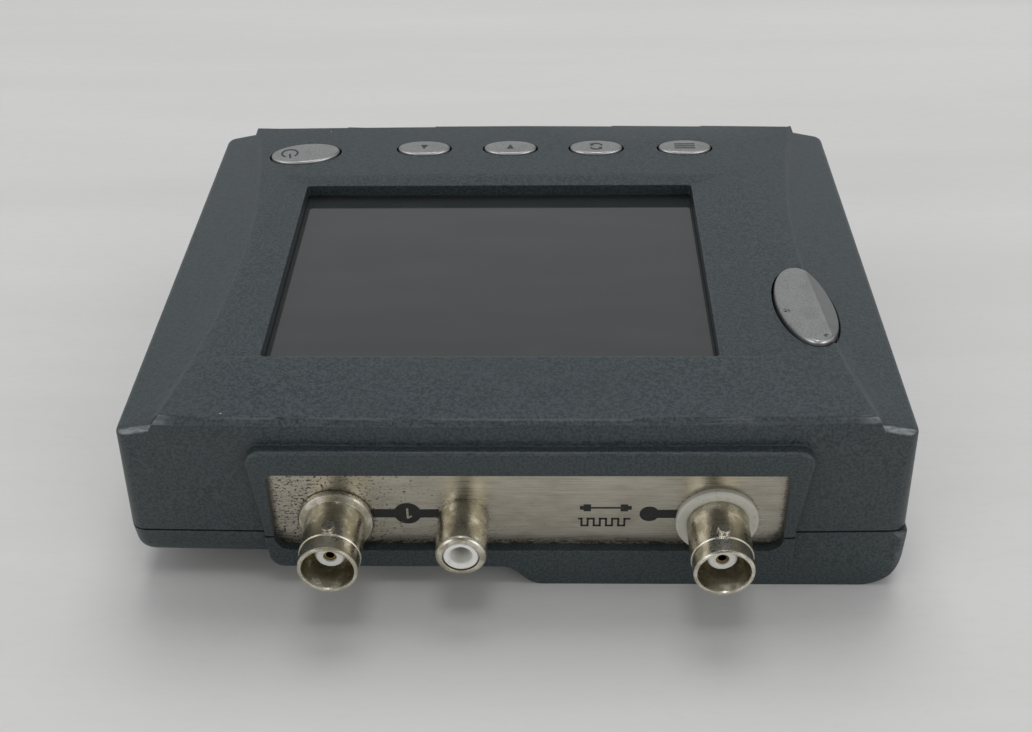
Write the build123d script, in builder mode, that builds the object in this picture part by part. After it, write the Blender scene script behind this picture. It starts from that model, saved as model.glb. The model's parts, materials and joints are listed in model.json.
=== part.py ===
from build123d import *
from math import cos, radians, sin, tan
import os

# Hand-held video service monitor: a two-shell case with a 3.5 inch screen, a row of keys behind
# the screen, a thumb key on the right shoulder and three coaxial connectors on the front face.
# Millimetres. Origin at the bottom centre of the whole object, +Z up, connectors face -Y.

# ---- Case, driving dimensions ---------------------------------------------------------------
CASE_Y = 5.85            # plan centre of the case; the connectors reach further than the rear
SEAM_Z = 10.6            # middle of the gap between the two shells
SEAM_GAP = 0.4
TOP_Z = 33.4             # flat plateau round the screen
FLOOR_Z = 4.0            # underside of the thin (left) part of the back shell
HALF_WIDTH = 64.1        # at the seam
HALF_DEPTH = 50.3        # at the seam, at the plan corners
BOW = 0.7                # outward bow of the front and rear edges
CORNER_R = 2.8
SIDE_DRAFT = 2.5         # degrees, top shell narrows upward
BACK_DRAFT = 5.0         # degrees, back shell narrows downward
BACK_EDGE_R = 3.8
RIM_R = 1.2
WALL = 2.0

# Shoulders: the long sides fall away outside a shallow arc
SHOULDER_X = 50.7        # where the arc comes closest to the middle
SHOULDER_SPREAD = 5.8    # how much further out the arc's ends are
SHOULDER_TILT = 11.0     # degrees
SHOULDER_STEP = 0.3      # smallest height of the step along the arc
SHOULDER_WALL = 45.0     # degrees, lean of that step
STEP_TOP_R, STEP_FOOT_R = 0.6, 0.7

# Battery bulge under the right half
BULGE_LEFT = -2.8
BULGE_FLAT_LEFT = 4.6
BULGE_CORNER_R = 7.0
BULGE_REAR = 50.2

# ---- Connector frame, window and plate ------------------------------------------------------
FRAME_Y = -52.1          # outer face, from the case centre
FRAME_TOP = 28.6
FRAME_TOP_LEFT, FRAME_TOP_RIGHT = -43.0, 47.4
FRAME_SEAM_LEFT, FRAME_SEAM_RIGHT = -41.3, 45.5
FRAME_CORNER_R = 2.5
WINDOW_LEFT, WINDOW_RIGHT = -39.7, 43.6
WINDOW_BOTTOM, WINDOW_TOP = 7.6, 24.0
WINDOW_TOP_R, WINDOW_BOTTOM_R = 1.2, 2.8
PLATE_Y = -50.3          # outer face, from the case centre
PLATE_T = 0.8
PLATE_LEFT, PLATE_RIGHT = -40.8, 44.7
PLATE_BOTTOM, PLATE_TOP = 6.3, 25.4
PLATE_GAP = 0.1

# ---- Connectors -----------------------------------------------------------------------------
AXIS_Z = 13.2
BNC_VIDEO_X, BNC_TEST_X, RCA_X = -29.4, 32.7, -8.6
BNC_VIDEO_REACH, BNC_TEST_REACH, RCA_REACH = 12.0, 12.4, 9.0
BNC_R = 4.83             # coupling length in front of the studs
BNC_ROOT_R = 5.0         # behind the studs
BNC_BORE_R = 4.1
BNC_STUD_BACK = 4.3      # stud centre behind the mouth
BNC_STUD_R, BNC_STUD_TOP = 1.05, 5.65
BNC_THREAD_R = 4.7
BNC_NUT_R, RCA_NUT_R = 7.0, 5.6
COLLAR_RELIEF_R = 6.9
RCA_R, RCA_BORE_R = 4.15, 3.0
RCA_THREAD_R = 3.6

# ---- Screen ---------------------------------------------------------------------------------
OPEN_X, OPEN_Y = -4.55, -3.4        # centre of the opening, from the case centre
OPEN_W, OPEN_D = 76.3, 57.1
DISH_DEPTH = 0.8
DISH_NEAR, DISH_FAR = -33.2, 28.3
DISH_NEAR_LEFT, DISH_NEAR_RIGHT = -49.7, 43.1
DISH_FAR_LEFT, DISH_FAR_RIGHT = -47.6, 41.2
GLASS_Z, GLASS_T = 30.0, 1.2
GLASS_W, GLASS_D = 79.4, 60.6
GASKET_T = 0.4
LCD_W, LCD_D = 76.9, 63.9
LCD_FRAME_W, LCD_FRAME_D = 79.0, 66.0
LCD_T, BACKLIGHT_T = 1.4, 2.0

# ---- Keys -----------------------------------------------------------------------------------
KEY_XS = {"up": -20.3, "down": -2.5, "swap": 15.2, "menu": 33.4}
KEY_Y = 39.0
KEY_A, KEY_B = 5.35, 2.75           # half axes of the oval caps
POWER_X, POWER_Y = -44.6, 36.8
POWER_A, POWER_B, POWER_TURN = 7.0, 3.9, 11.0
KEY_CLEAR = 0.4                     # cap to hole
KEY_PROUD = 0.5
KEY_FLANGE = 0.9                    # flange wider than the cap
THUMB_X, THUMB_Y = 49.6, -18.8
THUMB_A, THUMB_B, THUMB_TURN = 5.1, 11.4, 4.0
THUMB_RIDGE_X, THUMB_RIDGE_TURN, THUMB_SLOPE = 51.7, 4.5, 24.0
THUMB_PROUD = 0.9

# ---- Boards, fasteners, batteries -----------------------------------------------------------
BOARD_T = 1.6
MAIN_BOARD_Z = 18.6
MAIN_BOARD_W, MAIN_BOARD_FRONT, MAIN_BOARD_REAR = 104.0, -40.0, 30.5
KEY_BOARD_Z = 21.6
CASE_SCREW_X, CASE_SCREW_Y = 56.0, 43.6
SCREW_R, SCREW_HEAD_R = 1.3, 2.5
BOSS_R = 3.2
MAIN_SCREWS = [(-48.5, -30.0), (42.5, -35.5), (-48.5, 25.0), (48.5, 25.0)]
KEY_SCREWS = [(-31.0, KEY_Y), (24.3, KEY_Y)]
CELL_R, CELL_L, CELL_PITCH = 7.2, 50.4, 14.9
BAY_LEFT, BAY_RIGHT, BAY_FRONT, BAY_REAR = 1.6, 59.6, -27.4, 32.4
BAY_FLOOR = 2.4
DOOR_LEFT, DOOR_FRONT, DOOR_REAR = 5.4, -26.6, 31.6
DOOR_T, DOOR_SIDE_X, DOOR_SIDE_TOP = 1.4, 61.7, 7.2
TONGUE_W, TONGUE_BOTTOM = 1.0, 0.7
DOOR_GAP = 0.15
CELL_MID_X = (BAY_LEFT + BAY_RIGHT) / 2
CELL_MID_Y = (BAY_FRONT + BAY_REAR) / 2
SPEAKER_X, SPEAKER_Y, SPEAKER_R = -32.0, 8.0, 12.0

SLOPE = tan(radians(SHOULDER_TILT))
TOP_SHELL_Z = SEAM_Z + SEAM_GAP / 2
BACK_SHELL_Z = SEAM_Z - SEAM_GAP / 2


# ---- Placing helpers ------------------------------------------------------------------------
def plan(z):
    """Horizontal plane at height z, centred on the case."""
    return Plane((0, CASE_Y, z))


def front(y):
    """Upright plane facing -Y, at y from the case centre; its own y runs up."""
    return Plane(origin=(0, CASE_Y + y, 0), x_dir=(1, 0, 0), z_dir=(0, -1, 0))


# ---- Case forms -----------------------------------------------------------------------------
def case_outline(inset=0.0):
    """Plan outline at the seam: straight sides, bowed front and rear, rounded corners."""
    x, y = HALF_WIDTH - inset, HALF_DEPTH - inset
    with BuildSketch() as outline:
        with BuildLine():
            ThreePointArc((-x, -y), (0, -y - BOW), (x, -y))
            Line((x, -y), (x, y))
            ThreePointArc((x, y), (0, y + BOW), (-x, y))
            Line((-x, y), (-x, -y))
        make_face()
        fillet(outline.vertices(), max(CORNER_R - inset, 0.8))
    return outline.sketch


def shoulder_cut(drop=0.0):
    """What is taken off the right shoulder: outside the arc and above the sloping face."""
    ends = SHOULDER_X + SHOULDER_SPREAD
    beyond = 8.0
    level = TOP_Z - drop
    with BuildPart(mode=Mode.PRIVATE) as cut:
        with BuildSketch(plan(level)):
            with BuildLine():
                ThreePointArc((ends, -HALF_DEPTH), (SHOULDER_X, 0), (ends, HALF_DEPTH))
                Polyline(
                    (ends, HALF_DEPTH),
                    (ends, HALF_DEPTH + beyond),
                    (HALF_WIDTH + beyond, HALF_DEPTH + beyond),
                    (HALF_WIDTH + beyond, -HALF_DEPTH - beyond),
                    (ends, -HALF_DEPTH - beyond),
                    (ends, -HALF_DEPTH),
                )
            make_face()
        extrude(amount=-beyond, taper=SHOULDER_WALL)
        with BuildSketch(plan(level)):
            with Locations((SHOULDER_X - beyond, 0)):
                Rectangle(40, 3 * HALF_DEPTH, align=(Align.MIN, Align.CENTER))
        extrude(amount=beyond)
        with BuildSketch(front(0)):
            with BuildLine():
                Polyline(
                    (SHOULDER_X, level - SHOULDER_STEP),
                    (SHOULDER_X + 30, level - SHOULDER_STEP - 30 * SLOPE),
                    (SHOULDER_X + 30, level + beyond),
                    (SHOULDER_X, level + beyond),
                    close=True,
                )
            make_face()
        extrude(amount=2 * HALF_DEPTH, both=True, mode=Mode.INTERSECT)
    return cut.part


def shoulder_faces(form):
    """The two long sloping faces."""
    return form.faces().filter_by(
        lambda f: abs(f.center().X) > 55 and f.normal_at(f.center()).Z > 0.9 and f.area > 200
    )


def outer_top():
    """Outside of the top shell: plateau, rounded rim, steps and shoulders."""
    with BuildPart(mode=Mode.PRIVATE) as rimmed:
        with BuildSketch(plan(TOP_SHELL_Z)):
            add(case_outline())
        extrude(amount=TOP_Z - TOP_SHELL_Z, taper=SIDE_DRAFT)
        fillet(rimmed.faces().sort_by(Axis.Z)[-1].edges(), RIM_R)
    with BuildPart(mode=Mode.PRIVATE) as form:
        with BuildSketch(plan(TOP_SHELL_Z)):
            add(case_outline())
        extrude(amount=TOP_Z - TOP_SHELL_Z, taper=SIDE_DRAFT)
        add(shoulder_cut(), mode=Mode.SUBTRACT)
        add(mirror(shoulder_cut(), Plane.YZ), mode=Mode.SUBTRACT)
        plateau = form.faces().sort_by(Axis.Z)[-1]
        fillet(plateau.edges().filter_by(lambda e: abs(e.center().X) > SHOULDER_X - 5), STEP_TOP_R)
        edge = ShapeList([e for f in shoulder_faces(form) for e in f.edges()])
        fillet(edge.filter_by(lambda e: abs(e.center().X) > SHOULDER_X + 6.7), RIM_R)
        foot = ShapeList([e for f in shoulder_faces(form) for e in f.edges()])
        fillet(foot.filter_by(lambda e: abs(e.center().X) < SHOULDER_X + 6.1), STEP_FOOT_R)
        add(rimmed.part, mode=Mode.INTERSECT)
    return form.part


def inner_top():
    """Hollow of the top shell."""
    drop = WALL + 0.2
    with BuildPart(mode=Mode.PRIVATE) as form:
        with BuildSketch(plan(TOP_SHELL_Z)):
            add(case_outline(WALL))
        extrude(amount=TOP_Z - drop - TOP_SHELL_Z, taper=SIDE_DRAFT)
        add(shoulder_cut(drop), mode=Mode.SUBTRACT)
        add(mirror(shoulder_cut(drop), Plane.YZ), mode=Mode.SUBTRACT)
    return form.part


def connector_window():
    """Opening in the connector frame; its upper corners are tighter than its lower ones."""
    with BuildSketch() as window:
        with BuildLine():
            Polyline(
                (WINDOW_LEFT, WINDOW_BOTTOM),
                (WINDOW_RIGHT, WINDOW_BOTTOM),
                (WINDOW_RIGHT, WINDOW_TOP),
                (WINDOW_LEFT, WINDOW_TOP),
                close=True,
            )
        make_face()
        fillet(window.vertices().group_by(Axis.Y)[-1], WINDOW_TOP_R)
        fillet(window.vertices().group_by(Axis.Y)[0], WINDOW_BOTTOM_R)
    return window.sketch


def plate_outline(gap=0.0):
    """Connector plate's outline, or its pocket's when gap is given."""
    with BuildSketch() as plate:
        with Locations(((PLATE_LEFT + PLATE_RIGHT) / 2, (PLATE_BOTTOM + PLATE_TOP) / 2)):
            RectangleRounded(
                PLATE_RIGHT - PLATE_LEFT + 2 * gap, PLATE_TOP - PLATE_BOTTOM + 2 * gap, 1.0
            )
    return plate.sketch


def bulge():
    """Battery bulge: an S-curve down from the thin side, a flat foot and a round outer corner."""
    side = tan(radians(BACK_DRAFT)) * BACK_SHELL_Z
    with BuildPart(mode=Mode.PRIVATE) as form:
        with BuildSketch(front(FRAME_Y)) as section:
            with BuildLine():
                Spline((BULGE_LEFT, FLOOR_Z), (BULGE_FLAT_LEFT, 0), tangents=[(1, 0), (1, 0)])
                Polyline(
                    (BULGE_FLAT_LEFT, 0),
                    (HALF_WIDTH - side, 0),
                    (HALF_WIDTH, BACK_SHELL_Z),
                    (BULGE_LEFT, BACK_SHELL_Z),
                    (BULGE_LEFT, FLOOR_Z),
                )
            make_face()
            fillet(section.vertices().group_by(Axis.Y)[0].sort_by(Axis.X)[-1], BULGE_CORNER_R)
        extrude(amount=FRAME_Y - BULGE_REAR)
        # rounded corners in plan
        with BuildSketch(plan(0)) as column:
            with Locations((HALF_WIDTH, (FRAME_Y + BULGE_REAR) / 2)):
                Rectangle(80, BULGE_REAR - FRAME_Y, align=(Align.MAX, Align.CENTER))
            fillet(column.vertices().group_by(Axis.X)[-1], CORNER_R)
        extrude(amount=BACK_SHELL_Z, mode=Mode.INTERSECT)
        # right of the connector frame the front leans back to meet the top shell's face
        with BuildSketch(Plane.YZ.offset(FRAME_SEAM_RIGHT)):
            with BuildLine():
                Polyline(
                    (CASE_Y + FRAME_Y - 1, 4.6),
                    (CASE_Y + FRAME_Y, 4.6),
                    (CASE_Y - HALF_DEPTH + 0.1, BACK_SHELL_Z),
                    (CASE_Y - HALF_DEPTH + 0.1, BACK_SHELL_Z + 1),
                    (CASE_Y + FRAME_Y - 1, BACK_SHELL_Z + 1),
                    close=True,
                )
            make_face()
        extrude(amount=30, mode=Mode.SUBTRACT)
    return form.part


def outer_back():
    """Outside of the back shell: a shallow tray, the bulge and the foot of the connector frame."""
    with BuildPart(mode=Mode.PRIVATE) as form:
        with BuildSketch(plan(BACK_SHELL_Z)):
            add(case_outline())
        extrude(amount=FLOOR_Z - BACK_SHELL_Z, taper=BACK_DRAFT)
        fillet(form.faces().sort_by(Axis.Z)[0].edges(), BACK_EDGE_R)
        add(bulge())
        with BuildSketch(front(FRAME_Y)) as foot:
            with BuildLine():
                Polyline(
                    (FRAME_SEAM_LEFT, BACK_SHELL_Z),
                    (FRAME_SEAM_LEFT + 0.6, FLOOR_Z),
                    (BULGE_LEFT + 3, FLOOR_Z),
                    (BULGE_LEFT + 3, BACK_SHELL_Z),
                    close=True,
                )
            make_face()
            fillet(foot.vertices().sort_by(Axis.X)[1], FRAME_CORNER_R)
        extrude(amount=-6)
    return form.part


def door_blank(gap=0.0):
    """Battery door before it is trimmed to the case, or the room it needs when gap is given."""
    width = DOOR_REAR - DOOR_FRONT + 2 * gap
    middle = (DOOR_FRONT + DOOR_REAR) / 2
    with BuildPart(mode=Mode.PRIVATE) as blank:
        with BuildSketch(front(middle)):
            with BuildLine():
                Polyline(
                    (DOOR_LEFT - gap, -1),
                    (HALF_WIDTH + 2, -1),
                    (HALF_WIDTH + 2, DOOR_SIDE_TOP + gap),
                    (DOOR_SIDE_X - gap, DOOR_SIDE_TOP + gap),
                    (DOOR_SIDE_X - gap, 5.0),
                    (58.8, DOOR_T + gap),
                    (DOOR_LEFT - gap, DOOR_T + gap),
                    close=True,
                )
            make_face()
        extrude(amount=width / 2, both=True)
        with BuildSketch(front(middle)):
            with BuildLine():
                Polyline(
                    (DOOR_LEFT + 1 - gap, TONGUE_BOTTOM - gap),
                    (HALF_WIDTH + 2, TONGUE_BOTTOM - gap),
                    (HALF_WIDTH + 2, DOOR_T + gap),
                    (DOOR_LEFT + 1 - gap, DOOR_T + gap),
                    close=True,
                )
            make_face()
        extrude(amount=width / 2 + TONGUE_W, both=True)
    return blank.part


# ---- Top shell ------------------------------------------------------------------------------
# each oval key: x, y, half axes, turn in degrees
OVALS = {name: (x, KEY_Y, KEY_A, KEY_B, 0.0) for name, x in KEY_XS.items()}
OVALS["power"] = (POWER_X, POWER_Y, POWER_A, POWER_B, POWER_TURN)
ROOF_Z = TOP_Z - WALL - 0.2
POST_Z = SEAM_Z + 1.7    # foot of the case posts
POST_L, POST_HOLE_L = 17.5, 9.0
STUD_R = 2.4             # posts the boards hang from
MAIN_HOLE_L, KEY_HOLE_L = 6.0, 5.0
WINDOW_CUT = PLATE_Y - FRAME_Y + 2

with BuildPart() as top_shell:
    add(outer_top())
    # connector frame standing proud of the front face
    with BuildSketch(front(FRAME_Y)) as boss:
        with BuildLine():
            Polyline(
                (FRAME_SEAM_LEFT, TOP_SHELL_Z),
                (FRAME_SEAM_RIGHT, TOP_SHELL_Z),
                (FRAME_TOP_RIGHT, FRAME_TOP),
                (FRAME_TOP_LEFT, FRAME_TOP),
                close=True,
            )
        make_face()
        fillet(boss.vertices().group_by(Axis.Y)[-1], FRAME_CORNER_R)
    extrude(amount=-5)
    frame_face = top_shell.faces().sort_by(Axis.Y)[0]
    fillet(frame_face.edges().filter_by(lambda e: e.center().Z > TOP_SHELL_Z + 1), 0.7)
    add(inner_top(), mode=Mode.SUBTRACT)
    # ribs that locate the screen, and the lip that its gasket seals on
    with BuildSketch(plan(ROOF_Z)):
        with Locations((OPEN_X, OPEN_Y)):
            Rectangle(LCD_FRAME_W + 3.2, LCD_FRAME_D + 3.2)
            Rectangle(LCD_FRAME_W + 0.8, LCD_FRAME_D + 0.8, mode=Mode.SUBTRACT)
    extrude(amount=-6.5)
    with BuildSketch(plan(ROOF_Z)):
        with Locations((OPEN_X, OPEN_Y)):
            Rectangle(GLASS_W, GLASS_D)
    extrude(amount=GLASS_Z + GASKET_T - ROOF_Z)
    # posts for the case screws and the board screws
    with BuildSketch(plan(POST_Z)):
        with GridLocations(2 * CASE_SCREW_X, 2 * CASE_SCREW_Y, 2, 2):
            Circle(BOSS_R)
    extrude(amount=POST_L)
    with BuildSketch(plan(MAIN_BOARD_Z + BOARD_T)):
        with Locations(MAIN_SCREWS):
            Circle(STUD_R)
    extrude(amount=ROOF_Z - MAIN_BOARD_Z - BOARD_T)
    with BuildSketch(plan(KEY_BOARD_Z + BOARD_T)):
        with Locations(KEY_SCREWS):
            Circle(STUD_R)
    extrude(amount=ROOF_Z - KEY_BOARD_Z - BOARD_T)
    with BuildSketch(plan(POST_Z)):
        with GridLocations(2 * CASE_SCREW_X, 2 * CASE_SCREW_Y, 2, 2):
            Circle(SCREW_R)
    extrude(amount=POST_HOLE_L, mode=Mode.SUBTRACT)
    with BuildSketch(plan(MAIN_BOARD_Z + BOARD_T)):
        with Locations(MAIN_SCREWS):
            Circle(SCREW_R)
    extrude(amount=MAIN_HOLE_L, mode=Mode.SUBTRACT)
    with BuildSketch(plan(KEY_BOARD_Z + BOARD_T)):
        with Locations(KEY_SCREWS):
            Circle(SCREW_R)
    extrude(amount=KEY_HOLE_L, mode=Mode.SUBTRACT)
    # shallow dish round the screen opening, with mitred corners
    with BuildSketch(plan(TOP_Z)):
        with BuildLine():
            Polyline(
                (DISH_NEAR_LEFT, DISH_NEAR),
                (DISH_NEAR_RIGHT, DISH_NEAR),
                (DISH_FAR_RIGHT, DISH_FAR),
                (DISH_FAR_LEFT, DISH_FAR),
                close=True,
            )
        make_face()
    with BuildSketch(plan(TOP_Z - DISH_DEPTH)):
        with Locations((OPEN_X, OPEN_Y)):
            Rectangle(OPEN_W, OPEN_D)
    loft(ruled=True, mode=Mode.SUBTRACT)
    with BuildSketch(plan(GLASS_Z)):
        with Locations((OPEN_X, OPEN_Y)):
            RectangleRounded(OPEN_W, OPEN_D, 0.6)
    extrude(amount=4, mode=Mode.SUBTRACT)
    # key holes
    with BuildSketch(plan(ROOF_Z - 1)):
        for x, y, a, b, turn in OVALS.values():
            with Locations(Location((x, y), turn)):
                Ellipse(a + KEY_CLEAR, b + KEY_CLEAR)
        with Locations(Location((THUMB_X, THUMB_Y), THUMB_TURN)):
            Ellipse(THUMB_A + KEY_CLEAR, THUMB_B + KEY_CLEAR)
    extrude(amount=5, mode=Mode.SUBTRACT)
    with BuildSketch(plan(ROOF_Z - 4)):
        with Locations(Location((THUMB_X, THUMB_Y), THUMB_TURN)):
            Ellipse(THUMB_A + KEY_CLEAR, THUMB_B + KEY_CLEAR)
    extrude(amount=6, mode=Mode.SUBTRACT)
    # window, plate pocket, and the rebate that takes the back shell's tongue
    with BuildSketch(front(FRAME_Y - 1)):
        add(connector_window())
    extrude(amount=-WINDOW_CUT, mode=Mode.SUBTRACT)
    with BuildSketch(front(PLATE_Y)):
        add(plate_outline(PLATE_GAP))
    extrude(amount=-4, mode=Mode.SUBTRACT)
    with BuildSketch(plan(TOP_SHELL_Z)):
        add(case_outline(0.95))
        add(case_outline(WALL + 0.4), mode=Mode.SUBTRACT)
    extrude(amount=1.5, mode=Mode.SUBTRACT)
top_shell.part.label = "top_shell"

# ---- Back shell -----------------------------------------------------------------------------
BACK_CAVITY_Z = FLOOR_Z + WALL
BAY_TOP = 14.0
BAY_W = BAY_RIGHT - BAY_LEFT
BAY_D = BAY_REAR - BAY_FRONT

with BuildPart() as back_shell:
    add(outer_back())
    with BuildSketch(plan(BACK_CAVITY_Z)):
        add(case_outline(WALL + 0.6))
    extrude(amount=10, mode=Mode.SUBTRACT)
    # tongue inside the seam
    with BuildSketch(plan(BACK_CAVITY_Z + 1)):
        add(case_outline(1.1))
        add(case_outline(WALL + 0.6), mode=Mode.SUBTRACT)
    extrude(amount=SEAM_Z + 1.3 - BACK_CAVITY_Z - 1)
    # battery bay walls
    with BuildSketch(plan(BACK_CAVITY_Z - 1)):
        with Locations((CELL_MID_X, CELL_MID_Y)):
            Rectangle(BAY_W + 3.2, BAY_D + 3.2)
    extrude(amount=BAY_TOP - BACK_CAVITY_Z + 1)
    with BuildSketch(plan(BAY_FLOOR)):
        with Locations((CELL_MID_X, CELL_MID_Y)):
            Rectangle(BAY_W, BAY_D)
    extrude(amount=BAY_TOP, mode=Mode.SUBTRACT)
    # hollows in front of the bay and behind it
    for y_low, y_high in ((-47.0, BAY_FRONT - 1.6), (BAY_REAR + 1.6, 47.0)):
        with BuildSketch(plan(BAY_FLOOR)):
            with Locations((29, (y_low + y_high) / 2)):
                Rectangle(44, y_high - y_low)
        extrude(amount=BACK_CAVITY_Z - BAY_FLOOR + 1, mode=Mode.SUBTRACT)
    # screw posts, their holes and head recesses
    with BuildSketch(plan(BACK_CAVITY_Z - 1)):
        with GridLocations(2 * CASE_SCREW_X, 2 * CASE_SCREW_Y, 2, 2):
            Circle(BOSS_R)
    extrude(amount=SEAM_Z + 1.6 - BACK_CAVITY_Z + 1)
    with BuildSketch(plan(-1)):
        with GridLocations(2 * CASE_SCREW_X, 2 * CASE_SCREW_Y, 2, 2):
            Circle(SCREW_R + 0.2)
    extrude(amount=20, mode=Mode.SUBTRACT)
    with BuildSketch(plan(-1)):
        with GridLocations(2 * CASE_SCREW_X, 2 * CASE_SCREW_Y, 2, 2):
            Circle(SCREW_HEAD_R + 0.2)
    extrude(amount=BACK_CAVITY_Z + 1, mode=Mode.SUBTRACT)
    # window, plate pocket
    with BuildSketch(front(FRAME_Y - 1)):
        add(connector_window())
    extrude(amount=-WINDOW_CUT, mode=Mode.SUBTRACT)
    with BuildSketch(front(PLATE_Y)):
        add(plate_outline(PLATE_GAP))
    extrude(amount=-4, mode=Mode.SUBTRACT)
    # hidden relief in the window's sill for the connector collars
    with BuildSketch(front(PLATE_Y)):
        with Locations((BNC_VIDEO_X, AXIS_Z), (BNC_TEST_X, AXIS_Z)):
            Circle(COLLAR_RELIEF_R)
    extrude(amount=1.35, mode=Mode.SUBTRACT)
    # opening over the battery door, and the room the door and its tongues need
    with BuildSketch(plan(-1)):
        with Locations((DOOR_LEFT + 1.2, (DOOR_FRONT + DOOR_REAR) / 2)):
            Rectangle(52, DOOR_REAR - DOOR_FRONT - 1.2, align=(Align.MIN, Align.CENTER))
    extrude(amount=BAY_FLOOR + 2, mode=Mode.SUBTRACT)
    add(door_blank(DOOR_GAP), mode=Mode.SUBTRACT)
    # speaker slots
    with BuildSketch(plan(FLOOR_Z - 1)):
        with Locations((SPEAKER_X, SPEAKER_Y)):
            with GridLocations(0, 3.6, 1, 5):
                SlotOverall(16, 1.6)
    extrude(amount=WALL + 2, mode=Mode.SUBTRACT)
back_shell.part.label = "back_shell"


# ---- Battery door ---------------------------------------------------------------------------
with BuildPart() as battery_door:
    add(door_blank())
    add(outer_back(), mode=Mode.INTERSECT)
    # thumb ridges across the flat of the door
    with BuildSketch(plan(-1)):
        with Locations((44, (DOOR_FRONT + DOOR_REAR) / 2)):
            with GridLocations(2.4, 0, 6, 1):
                SlotOverall(16, 1.0, rotation=90)
    extrude(amount=1.4, mode=Mode.SUBTRACT)
battery_door.part.label = "battery_door"

# ---- Connector plate and connectors ---------------------------------------------------------
with BuildPart() as connector_plate:
    with BuildSketch(front(PLATE_Y)):
        add(plate_outline())
        with Locations((BNC_VIDEO_X, AXIS_Z), (BNC_TEST_X, AXIS_Z)):
            Circle(BNC_THREAD_R + 0.1, mode=Mode.SUBTRACT)
        with Locations((RCA_X, AXIS_Z)):
            Circle(RCA_THREAD_R + 0.1, mode=Mode.SUBTRACT)
    extrude(amount=-PLATE_T)
connector_plate.part.label = "connector_plate"


def axis_plane(x):
    """Half-section plane of a connector: its own x runs outward from the plate, its y is radius."""
    return Plane(origin=(x, CASE_Y + PLATE_Y, AXIS_Z), x_dir=(0, -1, 0), z_dir=(1, 0, 0))


def turned(x, points):
    """Solid turned about a connector's axis from (distance out from the plate, radius) points."""
    with BuildPart(mode=Mode.PRIVATE) as piece:
        with BuildSketch(axis_plane(x)):
            with BuildLine():
                Polyline(*points, close=True)
            make_face()
        revolve(axis=Axis((x, CASE_Y + PLATE_Y, AXIS_Z), (0, -1, 0)))
    return piece.part


THREAD_BACK = -8.0
INSULATOR_BACK = -9.0
PIN_BACK = -12.5
BNC_INSULATOR_R, BNC_INSULATOR_STEP = 2.35, 3.1
BNC_CONTACT_R, BNC_CONTACT_HOLE = 1.1, 0.7
BNC_BORE_DEPTH = 8.2
NUT_T = 2.4


def bnc_shell(x, reach, collar):
    """Bayonet shell: mouth, coupling length, two studs, the given collar, threaded tail."""
    step = reach - BNC_STUD_BACK + BNC_STUD_R + 0.25
    body = turned(
        x,
        [
            (THREAD_BACK, BNC_INSULATOR_R),
            (THREAD_BACK, BNC_THREAD_R),
            *collar,
            (step - 0.15, BNC_ROOT_R),
            (step, BNC_R),
            (reach - 0.25, BNC_R),
            (reach, BNC_R - 0.2),
            (reach, BNC_BORE_R + 0.15),
            (reach - 0.3, BNC_BORE_R),
            (reach - BNC_BORE_DEPTH, BNC_BORE_R),
            (reach - BNC_BORE_DEPTH, BNC_INSULATOR_R),
        ],
    )
    with BuildPart(mode=Mode.PRIVATE) as shell:
        add(body)
        stud_y = CASE_Y + PLATE_Y - reach + BNC_STUD_BACK
        with BuildSketch(Plane((x, stud_y, AXIS_Z + BNC_BORE_R + 0.3))):
            Circle(BNC_STUD_R)
        extrude(amount=BNC_STUD_TOP - BNC_BORE_R - 0.3)
        chamfer(shell.faces().sort_by(Axis.Z)[-1].edges(), 0.2)
        with BuildSketch(Plane((x, stud_y, AXIS_Z - BNC_STUD_TOP))):
            Circle(BNC_STUD_R)
        extrude(amount=BNC_STUD_TOP - BNC_BORE_R - 0.3)
    return shell.part


def bnc_insulator(x, reach):
    """Dielectric tube; the contact shows in its recessed front."""
    nose = reach - BNC_INSULATOR_STEP
    return turned(
        x,
        [
            (INSULATOR_BACK, BNC_CONTACT_R),
            (INSULATOR_BACK, BNC_INSULATOR_R),
            (nose - 0.3, BNC_INSULATOR_R),
            (nose, BNC_INSULATOR_R - 0.3),
            (nose, BNC_CONTACT_R),
        ],
    )


def bnc_contact(x, reach):
    """Centre socket with a solder pin behind."""
    nose = reach - BNC_INSULATOR_STEP - 0.4
    return turned(
        x,
        [
            (PIN_BACK, 0),
            (PIN_BACK, 0.5),
            (INSULATOR_BACK - 0.5, 0.5),
            (INSULATOR_BACK, BNC_CONTACT_R),
            (nose, BNC_CONTACT_R),
            (nose, BNC_CONTACT_HOLE),
            (nose - 4.5, BNC_CONTACT_HOLE),
            (nose - 5.0, 0),
        ],
    )


def hex_nut(x, thread_r, corner_r):
    """Hexagon nut on a connector's threaded tail, against the back of the plate."""
    with BuildPart(mode=Mode.PRIVATE) as nut:
        with BuildSketch(front(PLATE_Y + PLATE_T)):
            with Locations((x, AXIS_Z)):
                RegularPolygon(corner_r, 6)
                Circle(thread_r, mode=Mode.SUBTRACT)
        extrude(amount=-NUT_T)
    return nut.part


WASHER_T, WASHER_R = 1.2, 6.7
FLANGE_R, FLANGE_OUT = 6.2, 1.1
flange = [(0, BNC_THREAD_R), (0, FLANGE_R), (FLANGE_OUT, FLANGE_R), (FLANGE_OUT + 0.3, BNC_ROOT_R)]
washer_seat = [(WASHER_T, BNC_THREAD_R), (WASHER_T, BNC_ROOT_R)]

with BuildPart() as bnc_video_shell:
    add(bnc_shell(BNC_VIDEO_X, BNC_VIDEO_REACH, flange))
bnc_video_shell.part.label = "bnc_video_shell"

with BuildPart() as bnc_test_shell:
    add(bnc_shell(BNC_TEST_X, BNC_TEST_REACH, washer_seat))
bnc_test_shell.part.label = "bnc_test_shell"

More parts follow.
